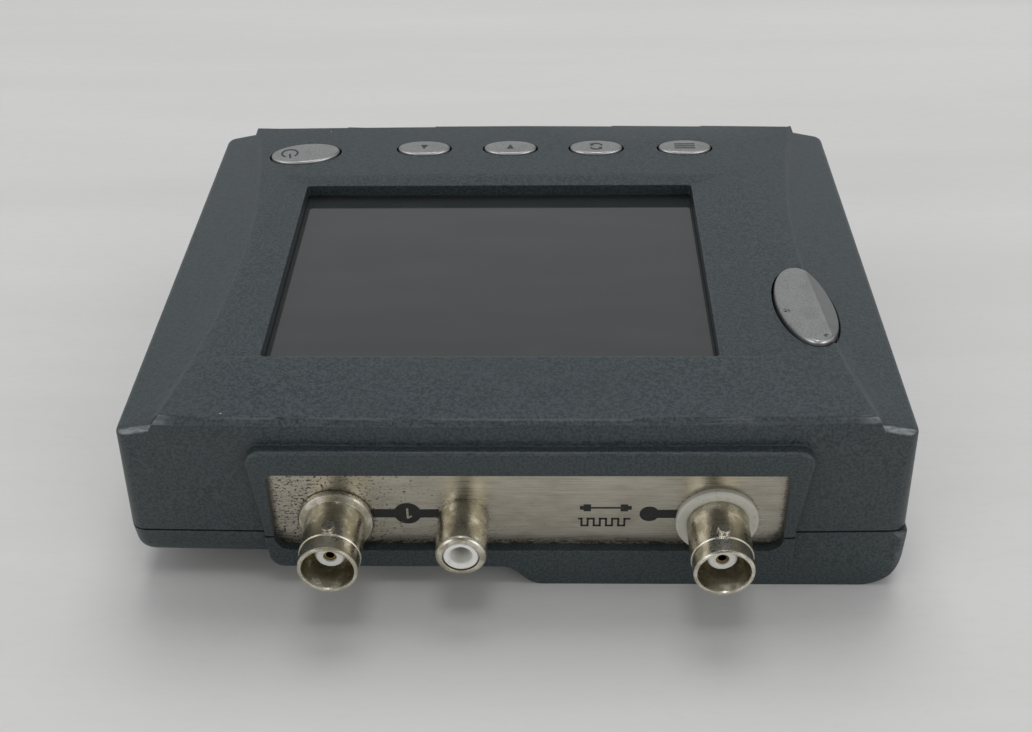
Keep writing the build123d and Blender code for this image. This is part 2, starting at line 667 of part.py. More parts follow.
with BuildPart() as bnc_video_insulator:
    add(bnc_insulator(BNC_VIDEO_X, BNC_VIDEO_REACH))
bnc_video_insulator.part.label = "bnc_video_insulator"

with BuildPart() as bnc_test_insulator:
    add(bnc_insulator(BNC_TEST_X, BNC_TEST_REACH))
bnc_test_insulator.part.label = "bnc_test_insulator"

with BuildPart() as bnc_video_contact:
    add(bnc_contact(BNC_VIDEO_X, BNC_VIDEO_REACH))
bnc_video_contact.part.label = "bnc_video_contact"

with BuildPart() as bnc_test_contact:
    add(bnc_contact(BNC_TEST_X, BNC_TEST_REACH))
bnc_test_contact.part.label = "bnc_test_contact"

with BuildPart() as bnc_video_nut:
    add(hex_nut(BNC_VIDEO_X, BNC_THREAD_R, BNC_NUT_R))
bnc_video_nut.part.label = "bnc_video_nut"

with BuildPart() as bnc_test_nut:
    add(hex_nut(BNC_TEST_X, BNC_THREAD_R, BNC_NUT_R))
bnc_test_nut.part.label = "bnc_test_nut"

# white insulating washer between the test connector and the plate
with BuildPart() as bnc_test_washer:
    add(
        turned(
            BNC_TEST_X,
            [
                (0, BNC_THREAD_R + 0.05),
                (0, WASHER_R),
                (WASHER_T - 0.35, WASHER_R),
                (WASHER_T, WASHER_R - 0.35),
                (WASHER_T, BNC_THREAD_R + 0.05),
            ],
        )
    )
bnc_test_washer.part.label = "bnc_test_washer"

RCA_HOLE_R, RCA_SLEEVE_R = 1.8, 1.66
with BuildPart() as rca_shell:
    with BuildSketch(axis_plane(RCA_X)) as section:
        with BuildLine():
            Polyline(
                (THREAD_BACK, RCA_BORE_R),
                (THREAD_BACK, RCA_THREAD_R),
                (0, RCA_THREAD_R),
                (0, RCA_R),
                (RCA_REACH, RCA_R),
                (RCA_REACH, RCA_BORE_R),
                close=True,
            )
        make_face()
        fillet(section.vertices().group_by(Axis.X)[-1].sort_by(Axis.Y)[-1], 0.8)
    revolve(axis=Axis((RCA_X, CASE_Y + PLATE_Y, AXIS_Z), (0, -1, 0)))
rca_shell.part.label = "rca_shell"

with BuildPart() as rca_insulator:
    add(
        turned(
            RCA_X,
            [
                (INSULATOR_BACK, 2.3),
                (INSULATOR_BACK, RCA_BORE_R),
                (RCA_REACH - 0.5, RCA_BORE_R),
                (RCA_REACH - 0.2, RCA_BORE_R - 0.3),
                (RCA_REACH - 0.2, RCA_HOLE_R + 0.3),
                (RCA_REACH - 0.5, RCA_HOLE_R),
                (RCA_REACH - 4.0, RCA_HOLE_R),
                (RCA_REACH - 4.0, 2.3),
            ],
        )
    )
rca_insulator.part.label = "rca_insulator"

with BuildPart() as rca_contact:
    add(
        turned(
            RCA_X,
            [
                (PIN_BACK, 0),
                (PIN_BACK, 0.5),
                (INSULATOR_BACK - 0.6, 0.5),
                (INSULATOR_BACK - 0.6, 2.0),
                (INSULATOR_BACK, 2.3),
                (RCA_REACH - 4.1, 2.3),
                (RCA_REACH - 4.1, RCA_SLEEVE_R),
                (-6.0, RCA_SLEEVE_R),
                (-6.0, 0),
            ],
        )
    )
rca_contact.part.label = "rca_contact"

with BuildPart() as rca_nut:
    add(hex_nut(RCA_X, RCA_THREAD_R, RCA_NUT_R))
rca_nut.part.label = "rca_nut"

# ---- Screen ---------------------------------------------------------------------------------
GLASS_BACK_Z = GLASS_Z - GLASS_T
LCD_FRAME_TOP = GLASS_BACK_Z - 0.1
PANEL_TOP = LCD_FRAME_TOP - 0.35
BACKLIGHT_TOP = PANEL_TOP - LCD_T
BACKLIGHT_Z = BACKLIGHT_TOP - BACKLIGHT_T

with BuildPart() as screen_gasket:
    with BuildSketch(plan(GLASS_Z)):
        with Locations((OPEN_X, OPEN_Y)):
            Rectangle(GLASS_W - 0.2, GLASS_D - 0.2)
            Rectangle(OPEN_W, OPEN_D, mode=Mode.SUBTRACT)
    extrude(amount=GASKET_T)
screen_gasket.part.label = "screen_gasket"

with BuildPart() as screen_window:
    with BuildSketch(plan(GLASS_BACK_Z)):
        with Locations((OPEN_X, OPEN_Y)):
            RectangleRounded(GLASS_W, GLASS_D, 0.8)
    extrude(amount=GLASS_T)
screen_window.part.label = "screen_window"

with BuildPart() as lcd_panel:
    with BuildSketch(plan(BACKLIGHT_TOP)):
        with Locations((OPEN_X, OPEN_Y)):
            Rectangle(LCD_W, LCD_D)
    extrude(amount=LCD_T)
lcd_panel.part.label = "lcd_panel"

with BuildPart() as lcd_backlight:
    with BuildSketch(plan(BACKLIGHT_Z)):
        with Locations((OPEN_X, OPEN_Y)):
            Rectangle(LCD_W, LCD_D)
    extrude(amount=BACKLIGHT_T)
lcd_backlight.part.label = "lcd_backlight"

with BuildPart() as lcd_frame:
    with BuildSketch(plan(BACKLIGHT_Z)):
        with Locations((OPEN_X, OPEN_Y)):
            Rectangle(LCD_FRAME_W, LCD_FRAME_D)
            Rectangle(LCD_W + 0.1, LCD_D + 0.1, mode=Mode.SUBTRACT)
    extrude(amount=LCD_FRAME_TOP - BACKLIGHT_Z)
    with BuildSketch(plan(PANEL_TOP + 0.05)):
        with Locations((OPEN_X, OPEN_Y)):
            Rectangle(LCD_FRAME_W, LCD_FRAME_D)
            Rectangle(LCD_W - 4, LCD_D - 8, mode=Mode.SUBTRACT)
    extrude(amount=LCD_FRAME_TOP - PANEL_TOP - 0.05)
lcd_frame.part.label = "lcd_frame"

BOARD_TOP = MAIN_BOARD_Z + BOARD_T
with BuildPart() as lcd_flex:
    with BuildSketch(Plane.YZ.offset(-12)):
        with BuildLine():
            start = Line((CASE_Y + 12, BACKLIGHT_Z - 0.15), (CASE_Y + 21, BACKLIGHT_Z - 0.15))
            bend = TangentArc(start @ 1, (CASE_Y + 21, BOARD_TOP + 1.15), tangent=start % 1)
            Line(bend @ 1, (CASE_Y + 16, BOARD_TOP + 1.15))
        trace(line_width=0.2)
    extrude(amount=22)
lcd_flex.part.label = "lcd_flex"

# ---- Boards ---------------------------------------------------------------------------------
with BuildPart() as main_board:
    with BuildSketch(plan(MAIN_BOARD_Z)):
        with Locations((0, (MAIN_BOARD_FRONT + MAIN_BOARD_REAR) / 2)):
            RectangleRounded(MAIN_BOARD_W, MAIN_BOARD_REAR - MAIN_BOARD_FRONT, 1.5)
        with Locations(MAIN_SCREWS):
            Circle(SCREW_R + 0.1, mode=Mode.SUBTRACT)
    extrude(amount=BOARD_T)
main_board.part.label = "main_board"

with BuildPart() as key_board:
    with BuildSketch(plan(KEY_BOARD_Z)):
        with Locations((-5.5, KEY_Y)):
            RectangleRounded(94, 10.5, 1.0)
        with Locations(KEY_SCREWS):
            Circle(SCREW_R + 0.1, mode=Mode.SUBTRACT)
    extrude(amount=BOARD_T)
key_board.part.label = "key_board"

# chips, coil and the ribbon connector on the main board: x, y, width, depth, height
CHIPS = [
    (-24.0, -8.0, 14.0, 14.0, 1.4),
    (4.0, -16.0, 10.0, 7.5, 1.7),
    (22.0, -6.0, 7.0, 5.0, 1.6),
    (-34.0, 15.0, 8.0, 8.0, 3.0),
    (10.0, 8.0, 5.0, 6.0, 1.5),
    (-1.0, 14.0, 23.0, 4.0, 0.9),
    (30.0, 12.0, 6.0, 6.0, 2.8),
]
with BuildPart() as board_chips:
    for x, y, width, depth, height in CHIPS:
        with BuildSketch(plan(BOARD_TOP)):
            with Locations((x, y)):
                Rectangle(width, depth)
        extrude(amount=height)
board_chips.part.label = "board_chips"

# ---- Keys and their switches ----------------------------------------------------------------
SWITCH_W, SWITCH_H, SWITCH_BORE = 6.0, 3.5, 1.8
PLUNGER_R, PLUNGER_TOP = 1.7, 1.0
KEY_SEAT = KEY_BOARD_Z + BOARD_T
THUMB_SWITCH_H = 5.0
FLANGE_TOP, FLANGE_T = ROOF_Z - 0.1, 0.9
THUMB_FLANGE_TOP = 29.6


def switch_housing(x, y, seat, height):
    """Square push switch with a blind bore for its plunger."""
    with BuildPart(mode=Mode.PRIVATE) as housing:
        with BuildSketch(plan(seat)):
            with Locations((x, y)):
                Rectangle(SWITCH_W, SWITCH_W)
        extrude(amount=height)
        with BuildSketch(plan(seat + height)):
            with Locations((x, y)):
                Circle(SWITCH_BORE)
        extrude(amount=-1.8, mode=Mode.SUBTRACT)
    return housing.part


def plunger(x, y, seat, height):
    """Switch plunger: travels with its key."""
    with BuildPart(mode=Mode.PRIVATE) as pin:
        with BuildSketch(plan(seat + height - 1.0)):
            with Locations((x, y)):
                Circle(PLUNGER_R)
        extrude(amount=1.0 + PLUNGER_TOP)
    return pin.part


def oval_key(x, y, a, b, turn):
    """Oval cap with a softened rim, a retaining flange under the roof and a stem."""
    with BuildPart(mode=Mode.PRIVATE) as key:
        with BuildSketch(plan(FLANGE_TOP)):
            with Locations(Location((x, y), turn)):
                Ellipse(a, b)
        extrude(amount=TOP_Z + KEY_PROUD - FLANGE_TOP)
        fillet(key.faces().sort_by(Axis.Z)[-1].edges(), 0.45)
        with BuildSketch(plan(FLANGE_TOP - FLANGE_T)):
            with Locations(Location((x, y), turn)):
                Ellipse(a + KEY_FLANGE, b + KEY_FLANGE)
        extrude(amount=FLANGE_T)
        with BuildSketch(plan(KEY_SEAT + SWITCH_H + PLUNGER_TOP)):
            with Locations((x, y)):
                Circle(1.6)
        extrude(amount=FLANGE_TOP - FLANGE_T - KEY_SEAT - SWITCH_H - PLUNGER_TOP)
    return key.part


KEY_PARTS = []
for key_name, (x, y, a, b, turn) in OVALS.items():
    with BuildPart() as button:
        add(oval_key(x, y, a, b, turn))
    button.part.label = key_name + "_button"
    with BuildPart() as push_pin:
        add(plunger(x, y, KEY_SEAT, SWITCH_H))
    push_pin.part.label = key_name + "_plunger"
    KEY_PARTS += [button, push_pin]

with BuildPart() as thumb_plunger:
    add(plunger(THUMB_X, THUMB_Y, BOARD_TOP, THUMB_SWITCH_H))
thumb_plunger.part.label = "thumb_plunger"

with BuildPart() as thumb_switch:
    add(switch_housing(THUMB_X, THUMB_Y, BOARD_TOP, THUMB_SWITCH_H))
thumb_switch.part.label = "thumb_switch"

with BuildPart() as key_switches:
    for x, y, a, b, turn in OVALS.values():
        add(switch_housing(x, y, KEY_SEAT, SWITCH_H))
key_switches.part.label = "key_switches"

THUMB_TOP = TOP_Z + THUMB_PROUD
across = radians(THUMB_RIDGE_TURN)
fall = radians(THUMB_SLOPE)
outer_facet = Plane(
    origin=(THUMB_RIDGE_X, CASE_Y + THUMB_Y, THUMB_TOP),
    z_dir=(sin(fall) * cos(across), sin(fall) * sin(across), cos(fall)),
)

# thumb key: a leaf that lies over the plateau's edge, its outer facet falling away
with BuildPart() as thumb_button:
    with BuildSketch(plan(THUMB_FLANGE_TOP)):
        with Locations(Location((THUMB_X, THUMB_Y), THUMB_TURN)):
            Ellipse(THUMB_A, THUMB_B)
    extrude(amount=THUMB_TOP - THUMB_FLANGE_TOP)
    with BuildSketch(outer_facet):
        Rectangle(150, 150)
    extrude(amount=20, mode=Mode.SUBTRACT)
    upper = thumb_button.faces().filter_by(lambda f: f.normal_at(f.center()).Z > 0.8)
    fillet(upper.edges(), 0.6)
    with BuildSketch(plan(THUMB_FLANGE_TOP - FLANGE_T)):
        with Locations(Location((THUMB_X, THUMB_Y), THUMB_TURN)):
            Ellipse(THUMB_A + KEY_FLANGE, THUMB_B + KEY_FLANGE)
    extrude(amount=FLANGE_T)
    with BuildSketch(plan(BOARD_TOP + THUMB_SWITCH_H + PLUNGER_TOP)):
        with Locations((THUMB_X, THUMB_Y)):
            Circle(1.6)
    extrude(amount=THUMB_FLANGE_TOP - FLANGE_T - BOARD_TOP - THUMB_SWITCH_H - PLUNGER_TOP)
thumb_button.part.label = "thumb_button"

# ---- Fasteners ------------------------------------------------------------------------------
def screw(x, y, seat, shank, head=1.5):
    """Pan-head screw driven upward: its head hangs below the seat height; cross recess."""
    with BuildPart(mode=Mode.PRIVATE) as fastener:
        with BuildSketch(plan(seat)):
            with Locations((x, y)):
                Circle(SCREW_R)
        extrude(amount=shank)
        with BuildSketch(plan(seat)):
            with Locations((x, y)):
                Circle(SCREW_HEAD_R)
        extrude(amount=-head)
        fillet(fastener.faces().sort_by(Axis.Z)[0].edges(), 0.4)
        with BuildSketch(plan(seat - head)):
            with Locations((x, y)):
                Rectangle(2.6, 0.6)
                Rectangle(0.6, 2.6)
        extrude(amount=0.9, mode=Mode.SUBTRACT)
    return fastener.part


with BuildPart() as case_screws:
    for x in (-CASE_SCREW_X, CASE_SCREW_X):
        for y in (-CASE_SCREW_Y, CASE_SCREW_Y):
            add(screw(x, y, BACK_CAVITY_Z, 12.0))
case_screws.part.label = "case_screws"

with BuildPart() as board_screws:
    for x, y in MAIN_SCREWS:
        add(screw(x, y, MAIN_BOARD_Z, 6.0, 1.3))
    for x, y in KEY_SCREWS:
        add(screw(x, y, KEY_BOARD_Z, 5.0, 1.3))
board_screws.part.label = "board_screws"

# ---- Batteries ------------------------------------------------------------------------------
CELL_Z = BAY_FLOOR + 0.1 + CELL_R
CELL_SHIFT = 2.0
CONTACT_T = 0.4
NUB_R, NUB_L = 2.7, 1.0
ROWS = [(CELL_MID_Y + (i - 1.5) * CELL_PITCH, 1 if i % 2 else -1) for i in range(4)]

with BuildPart() as battery_cells:
    for y, way in ROWS:
        start = Plane(
            origin=(CELL_MID_X + way * (CELL_SHIFT - CELL_L / 2), CASE_Y + y, CELL_Z),
            x_dir=(0, 1, 0),
            z_dir=(way, 0, 0),
        )
        with BuildSketch(start):
            Circle(CELL_R)
        extrude(amount=CELL_L - NUB_L)
        with BuildSketch(start.offset(CELL_L - NUB_L)):
            Circle(NUB_R)
        extrude(amount=NUB_L)
battery_cells.part.label = "battery_cells"

POSITIVE_GAP = BAY_W / 2 - CELL_L / 2 - CELL_SHIFT - CONTACT_T
NEGATIVE_GAP = BAY_W / 2 - CELL_L / 2 + CELL_SHIFT - CONTACT_T
with BuildPart() as battery_contacts:
    for y, way in ROWS:
        for side in (-1, 1):
            wall = Plane(
                origin=(CELL_MID_X + side * BAY_W / 2, CASE_Y + y, CELL_Z),
                x_dir=(0, 1, 0),
                z_dir=(-side, 0, 0),
            )
            with BuildSketch(wall):
                Rectangle(11.0, 8.0)
            extrude(amount=CONTACT_T)
            if side == way:
                with BuildSketch(wall.offset(CONTACT_T)):
                    Circle(2.2)
                extrude(amount=POSITIVE_GAP)
battery_contacts.part.label = "battery_contacts"

SPRING_R, SPRING_WIRE = 2.6, 0.3
with BuildPart() as battery_springs:
    for y, way in ROWS:
        seat_x = CELL_MID_X - way * (BAY_W / 2 - CONTACT_T - SPRING_WIRE)
        coil = Helix(
            pitch=(NEGATIVE_GAP - 2 * SPRING_WIRE) / 3,
            height=NEGATIVE_GAP - 2 * SPRING_WIRE,
            radius=SPRING_R,
            center=(seat_x, CASE_Y + y, CELL_Z),
            direction=(way, 0, 0),
            mode=Mode.PRIVATE,
        )
        with BuildSketch(Plane(origin=coil @ 0, z_dir=coil % 0)):
            Circle(SPRING_WIRE)
        sweep(path=coil)
battery_springs.part.label = "battery_springs"

# ---- Speaker and wires ----------------------------------------------------------------------
with BuildPart() as speaker_frame:
    with BuildSketch(plan(BACK_CAVITY_Z)):
        with Locations((SPEAKER_X, SPEAKER_Y)):
            Circle(SPEAKER_R)
            Circle(SPEAKER_R - 1.2, mode=Mode.SUBTRACT)
    extrude(amount=2.4)
    with BuildSketch(plan(BACK_CAVITY_Z + 2.4)):
        with Locations((SPEAKER_X, SPEAKER_Y)):
            Circle(SPEAKER_R)
    extrude(amount=0.8)
    with BuildSketch(plan(BACK_CAVITY_Z + 3.2)):
        with Locations((SPEAKER_X, SPEAKER_Y)):
            Circle(6.5)
    extrude(amount=2.2)
speaker_frame.part.label = "speaker_frame"

with BuildPart() as speaker_cone:
    with BuildSketch(plan(BACK_CAVITY_Z + 0.8)):
        with Locations((SPEAKER_X, SPEAKER_Y)):
            Circle(SPEAKER_R - 1.3)
    extrude(amount=0.5)
    with BuildSketch(plan(BACK_CAVITY_Z + 1.3)):
        with Locations((SPEAKER_X, SPEAKER_Y)):
            Circle(4.0)
    extrude(amount=1.1)
speaker_cone.part.label = "speaker_cone"


def wire(radius, leaves, *points):
    """Round wire through the given points of the case's own frame, rising into the board."""
    with BuildPart(mode=Mode.PRIVATE) as strand:
        with BuildLine() as path:
            Spline(*[(x, CASE_Y + y, z) for x, y, z in points], tangents=[leaves, (0, 0, 1)])
        with BuildSketch(Plane(origin=path.line @ 0, z_dir=path.line % 0)):
            Circle(radius)
        sweep(path=path.line)
    return strand.part


PIN_Y = PLATE_Y - PIN_BACK + 0.05
JOINT_Z = MAIN_BOARD_Z - 0.05
with BuildPart() as signal_wires:
    for x in (BNC_VIDEO_X, RCA_X, BNC_TEST_X):
        add(wire(0.45, (0, 1, 0), (x, PIN_Y, AXIS_Z), (x, PIN_Y + 3.6, JOINT_Z)))
signal_wires.part.label = "signal_wires"

with BuildPart() as power_wires:
    for y in (-20.0, 24.0):
        add(wire(0.6, (0, 0, 1), (BAY_LEFT - 2.4, y, 9.0), (BAY_LEFT - 4.0, y, JOINT_Z)))
    for y in (SPEAKER_Y - 2, SPEAKER_Y + 2):
        rim = (SPEAKER_X + SPEAKER_R + 0.6, y, BACK_CAVITY_Z + 3)
        add(wire(0.5, (0, 0, 1), rim, (rim[0] + 3, y, JOINT_Z)))
power_wires.part.label = "power_wires"

# ---- Write every piece ----------------------------------------------------------------------
BUILT = [
    top_shell, back_shell, battery_door, connector_plate,
    bnc_video_shell, bnc_video_insulator, bnc_video_contact, bnc_video_nut,
    bnc_test_shell, bnc_test_washer, bnc_test_insulator, bnc_test_contact, bnc_test_nut,
    rca_shell, rca_insulator, rca_contact, rca_nut,
    screen_gasket, screen_window, lcd_panel, lcd_backlight, lcd_frame, lcd_flex,
    main_board, key_board, board_chips, key_switches, thumb_switch, thumb_button, thumb_plunger,
    case_screws, board_screws, battery_cells, battery_contacts, battery_springs,
    speaker_frame, speaker_cone, signal_wires, power_wires,
]

os.makedirs("parts", exist_ok=True)
for builder in BUILT + KEY_PARTS:
    export_step(builder.part, "parts/" + builder.part.label + ".step")
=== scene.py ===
import bmesh
import bpy
import json
import math
from mathutils import Matrix, Vector

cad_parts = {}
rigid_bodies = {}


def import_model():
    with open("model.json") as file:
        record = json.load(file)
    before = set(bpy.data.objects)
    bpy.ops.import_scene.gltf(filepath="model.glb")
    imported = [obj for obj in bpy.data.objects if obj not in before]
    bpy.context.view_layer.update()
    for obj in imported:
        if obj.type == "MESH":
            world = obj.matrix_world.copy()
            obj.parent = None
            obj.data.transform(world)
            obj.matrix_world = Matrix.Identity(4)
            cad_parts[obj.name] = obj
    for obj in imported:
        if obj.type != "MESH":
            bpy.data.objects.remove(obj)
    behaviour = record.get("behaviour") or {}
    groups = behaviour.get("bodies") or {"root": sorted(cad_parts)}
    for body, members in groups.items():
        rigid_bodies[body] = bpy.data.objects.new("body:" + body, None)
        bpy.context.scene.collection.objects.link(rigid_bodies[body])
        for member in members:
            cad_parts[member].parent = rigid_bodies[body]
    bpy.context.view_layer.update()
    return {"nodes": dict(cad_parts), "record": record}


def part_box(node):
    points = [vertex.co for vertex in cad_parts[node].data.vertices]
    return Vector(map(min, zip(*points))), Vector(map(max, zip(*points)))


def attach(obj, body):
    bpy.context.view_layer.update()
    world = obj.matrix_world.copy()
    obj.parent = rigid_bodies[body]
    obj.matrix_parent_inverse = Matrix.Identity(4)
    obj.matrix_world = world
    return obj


# Hand-held video service monitor on a pale table. Everything is in metres, in the frame of the
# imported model: +Z up, the connectors face -Y, the person using it stands at +Y.

MM = 0.001
SEED_STEPS = (7.3, 3.1, 11.9)  # shift of the texture along X, Y and Z from one seed to the next

for startup_object in list(bpy.data.objects):
    bpy.data.objects.remove(startup_object)
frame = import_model()
nodes = frame["nodes"]


# ---- Node helper ----------------------------------------------------------------------------
class Finish:
    """One procedural material. Sizes are real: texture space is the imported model's own, in metres."""

    def __init__(self, name):
        self.material = bpy.data.materials.new(name)
        self.material.use_nodes = True
        self.tree = self.material.node_tree
        self.tree.nodes.clear()
        self.surface = self.node("ShaderNodeBsdfPrincipled")
        output = self.node("ShaderNodeOutputMaterial")
        self.tree.links.new(self.surface.outputs[0], output.inputs["Surface"])
        self.place = self.node("ShaderNodeTexCoord").outputs["Object"]
        self.facing = self.node("ShaderNodeNewGeometry").outputs["Normal"]

    def node(self, kind, **settings):
        made = self.tree.nodes.new(kind)
        for key, value in settings.items():
            setattr(made, key, value)
        return made

    def feed(self, socket, value):
        """Links a socket to another node's output, or sets its plain value."""
        if isinstance(value, bpy.types.NodeSocket):
            self.tree.links.new(value, socket)
        elif socket.type == "RGBA" and len(value) == 3:
            socket.default_value = (*value, 1.0)
        else:
            socket.default_value = value

    def set(self, **values):
        """Sets the surface shader's inputs; an underscore stands for a space."""
        for key, value in values.items():
            self.feed(self.surface.inputs[key.replace("_", " ")], value)

    def scaled(self, size, seed):
        """Texture place divided by a feature size in metres, one number or one for each axis."""
        sizes = size if isinstance(size, tuple) else (size, size, size)
        mapping = self.node("ShaderNodeMapping")
        self.feed(mapping.inputs["Vector"], self.place)
        self.feed(mapping.inputs["Location"], tuple(step * seed for step in SEED_STEPS))
        self.feed(mapping.inputs["Scale"], tuple(1.0 / s for s in sizes))
        return mapping.outputs[0]

    def noise(self, size, seed=0, detail=2.0, roughness=0.5):
        """Cloudy 0 to 1 value whose blotches have the given size."""
        texture = self.node("ShaderNodeTexNoise")
        self.feed(texture.inputs["Vector"], self.scaled(size, seed))
        self.feed(texture.inputs["Scale"], 1.0)
        self.feed(texture.inputs["Detail"], detail)
        self.feed(texture.inputs["Roughness"], roughness)
        return texture.outputs[0]

    def specks(self, pitch, radius, share, seed=0):
        """Small round specks: 1 inside. Pitch and radius in metres; share of the cells that have one."""
        texture = self.node("ShaderNodeTexVoronoi")
        self.feed(texture.inputs["Vector"], self.scaled(pitch, seed))
        self.feed(texture.inputs["Scale"], 1.0)
        chosen = self.node("ShaderNodeSeparateColor")
        self.feed(chosen.inputs[0], texture.outputs["Color"])
        inside = self.ramp(texture.outputs["Distance"], radius / pitch, 0.5 * radius / pitch)
        return self.math("MULTIPLY", inside, self.math("LESS_THAN", chosen.outputs[0], share))

    def math(self, operation, first, second=0.0, third=0.0):
        made = self.node("ShaderNodeMath", operation=operation)
        for socket, value in zip(made.inputs, (first, second, third)):
            self.feed(socket, value)
        return made.outputs[0]

    def ramp(self, value, low, high, out_low=0.0, out_high=1.0):
        """Smooth step of a value from low to high; low may be above high."""
        made = self.node("ShaderNodeMapRange", interpolation_type="SMOOTHSTEP")
        flipped = low > high
        edges = (high, low, out_high, out_low) if flipped else (low, high, out_low, out_high)
        for socket, number in zip(made.inputs, (value, *edges)):
            self.feed(socket, number)
        return made.outputs[0]

    def mix(self, share, first, second):
        """Colour between first and second."""
        made = self.node("ShaderNodeMix", data_type="RGBA")
        self.feed(made.inputs[0], share)
        self.feed(made.inputs[6], first)
        self.feed(made.inputs[7], second)
        return made.outputs[2]

    def rounded(self, radius):
        """Normal with every sharp edge softened over the radius."""
        made = self.node("ShaderNodeBevel", samples=4)
        self.feed(made.inputs["Radius"], radius)
        return made.outputs[0]

    def edges(self, radius):
        """1 along edges, 0 on plain surfaces."""
        product = self.node("ShaderNodeVectorMath", operation="DOT_PRODUCT")
        self.feed(product.inputs[0], self.rounded(radius))
        self.feed(product.inputs[1], self.facing)
        return self.ramp(product.outputs["Value"], 0.99, 0.85)

    def crevices(self, reach):
        """1 deep in corners, 0 in the open."""
        made = self.node("ShaderNodeAmbientOcclusion", samples=4)
        self.feed(made.inputs["Distance"], reach)
        return self.ramp(made.outputs["AO"], 0.85, 0.35)

    def near(self, point, radius):
        """1 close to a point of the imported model's frame."""
        made = self.node("ShaderNodeVectorMath", operation="DISTANCE")
        self.feed(made.inputs[0], self.place)
        self.feed(made.inputs[1], tuple(point))
        return self.ramp(made.outputs["Value"], radius, 0.6 * radius)

    def axis(self, vector, name):
        """One of a vector's parts, X, Y or Z."""
        made = self.node("ShaderNodeSeparateXYZ")
        self.feed(made.inputs[0], vector)
        return made.outputs[name]

    def bump(self, height, distance, normal=None):
        """Surface normal for a height of 0 to 1 that stands for the distance in metres."""
        made = self.node("ShaderNodeBump")
        self.feed(made.inputs["Height"], height)
        self.feed(made.inputs["Distance"], distance)
        if normal is not None:
            self.feed(made.inputs["Normal"], normal)
        return made.outputs[0]


# ---- Plastics -------------------------------------------------------------------------------
def case_plastic():
    """Slate grey moulding with a fine spark grain, rubbed rims, a painted highlight on the front and rear
    rims at the shoulders, and a little dust.
    """
    f = Finish("case_plastic")
    low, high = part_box("top_shell")
    grain = f.noise(0.42 * MM, seed=1, detail=2.0, roughness=0.6)
    coarse = f.noise(0.9 * MM, seed=2, detail=2.0)
    cloud = f.noise(16 * MM, seed=3, detail=3.0)
    speckle = f.ramp(f.math("MULTIPLY_ADD", coarse, 0.15, f.math("MULTIPLY", grain, 0.85)), 0.38, 0.62)
    colour = f.mix(speckle, (0.014, 0.022, 0.026), (0.047, 0.063, 0.068))
    colour = f.mix(f.ramp(cloud, 0.3, 0.7, 0.0, 0.25), colour, (0.034, 0.045, 0.049))
    rubbed = f.math("MULTIPLY", f.edges(0.5 * MM), f.ramp(f.noise(1.1 * MM, seed=4), 0.35, 0.7, 0.1, 0.6))
    colour = f.mix(rubbed, colour, (0.10, 0.115, 0.12))
    # painted highlight on the rims that round over toward the front or rear, strongest at the shoulders: it
    # stands in for the lamps' reflection on rims that handling has polished
    upright = f.axis(f.facing, "Z")
    turned_over = f.math("MULTIPLY", upright, f.math("ABSOLUTE", f.axis(f.facing, "Y")))
    rim = f.ramp(turned_over, 0.20, 0.46)
    outward = f.math("ABSOLUTE", f.axis(f.place, "X"))
    shoulder = f.ramp(outward, high.x - 11 * MM, high.x - 6 * MM, 0.09, 0.90)
    patchy = f.ramp(f.noise((2.2 * MM, 0.6 * MM, 0.6 * MM), seed=43, detail=4.0), 0.35, 0.6, 0.45, 1.0)
    painted_rim_highlight = f.math("MULTIPLY", f.math("MULTIPLY", rim, shoulder), patchy)
    # the lighter colour here is the painted highlight, not the plastic's own shade
    colour = f.mix(painted_rim_highlight, colour, (0.30, 0.32, 0.33))
    dust = f.specks(5.5 * MM, 0.16 * MM, 0.22, seed=5)
    up = f.ramp(upright, 0.2, 0.7)
    colour = f.mix(f.math("MULTIPLY", dust, up), colour, (0.55, 0.56, 0.55))
    normal = f.bump(grain, 0.06 * MM, f.bump(coarse, 0.02 * MM, f.rounded(0.3 * MM)))
    f.set(Base_Color=colour, Roughness=f.ramp(grain, 0.3, 0.7, 0.32, 0.48), Normal=normal)
    return f.material


def plain_plastic(name, dark, light, roughness, grain=0.35 * MM):
    """Moulded plastic of two close shades, with fine bump, darker in its corners."""
    f = Finish(name)
    fine = f.noise(grain, seed=6, detail=3.0)
    cloud = f.noise(3.5 * MM, seed=7, detail=4.0)
    colour = f.mix(f.ramp(cloud, 0.3, 0.7), dark, light)
    # darker in its corners, where the ambient occlusion mask is high
    corner_darkening = f.math("MULTIPLY", f.crevices(1.2 * MM), f.ramp(f.noise(0.6 * MM, seed=8), 0.3, 0.7, 0.3, 0.9))
    colour = f.mix(corner_darkening, colour, tuple(0.35 * c for c in dark))
    normal = f.bump(fine, 0.012 * MM, f.rounded(0.12 * MM))
    f.set(Base_Color=colour, Roughness=f.ramp(fine, 0.3, 0.7, roughness - 0.06, roughness + 0.08))
    f.set(Normal=normal)
    return f.material


def soiled_white(name, clean, dirt, amount):
    """White insulating plastic with dirty blotches, darker and browner in its corners, and lightly spotted.
    """
    f = Finish(name)
    blotch = f.ramp(f.noise(1.3 * MM, seed=9, detail=5.0, roughness=0.65), 0.52, 0.75, 0.0, amount)
    # darker and browner in its corners, where the ambient occlusion mask is high
    corners = f.math("MULTIPLY", f.crevices(0.9 * MM), 0.55)
    colour = f.mix(f.math("MAXIMUM", blotch, corners), clean, dirt)
    colour = f.mix(f.specks(1.4 * MM, 0.09 * MM, 0.35, seed=10), colour, (0.10, 0.085, 0.06))
    height = f.noise(0.4 * MM, seed=11, detail=4.0)
    f.set(Base_Color=colour, Roughness=f.ramp(height, 0.3, 0.7, 0.38, 0.55))
    f.set(Normal=f.bump(height, 0.02 * MM, f.rounded(0.15 * MM)), Subsurface_Weight=0.08)
    f.set(Subsurface_Radius=(0.6 * MM, 0.5 * MM, 0.4 * MM))
    return f.material


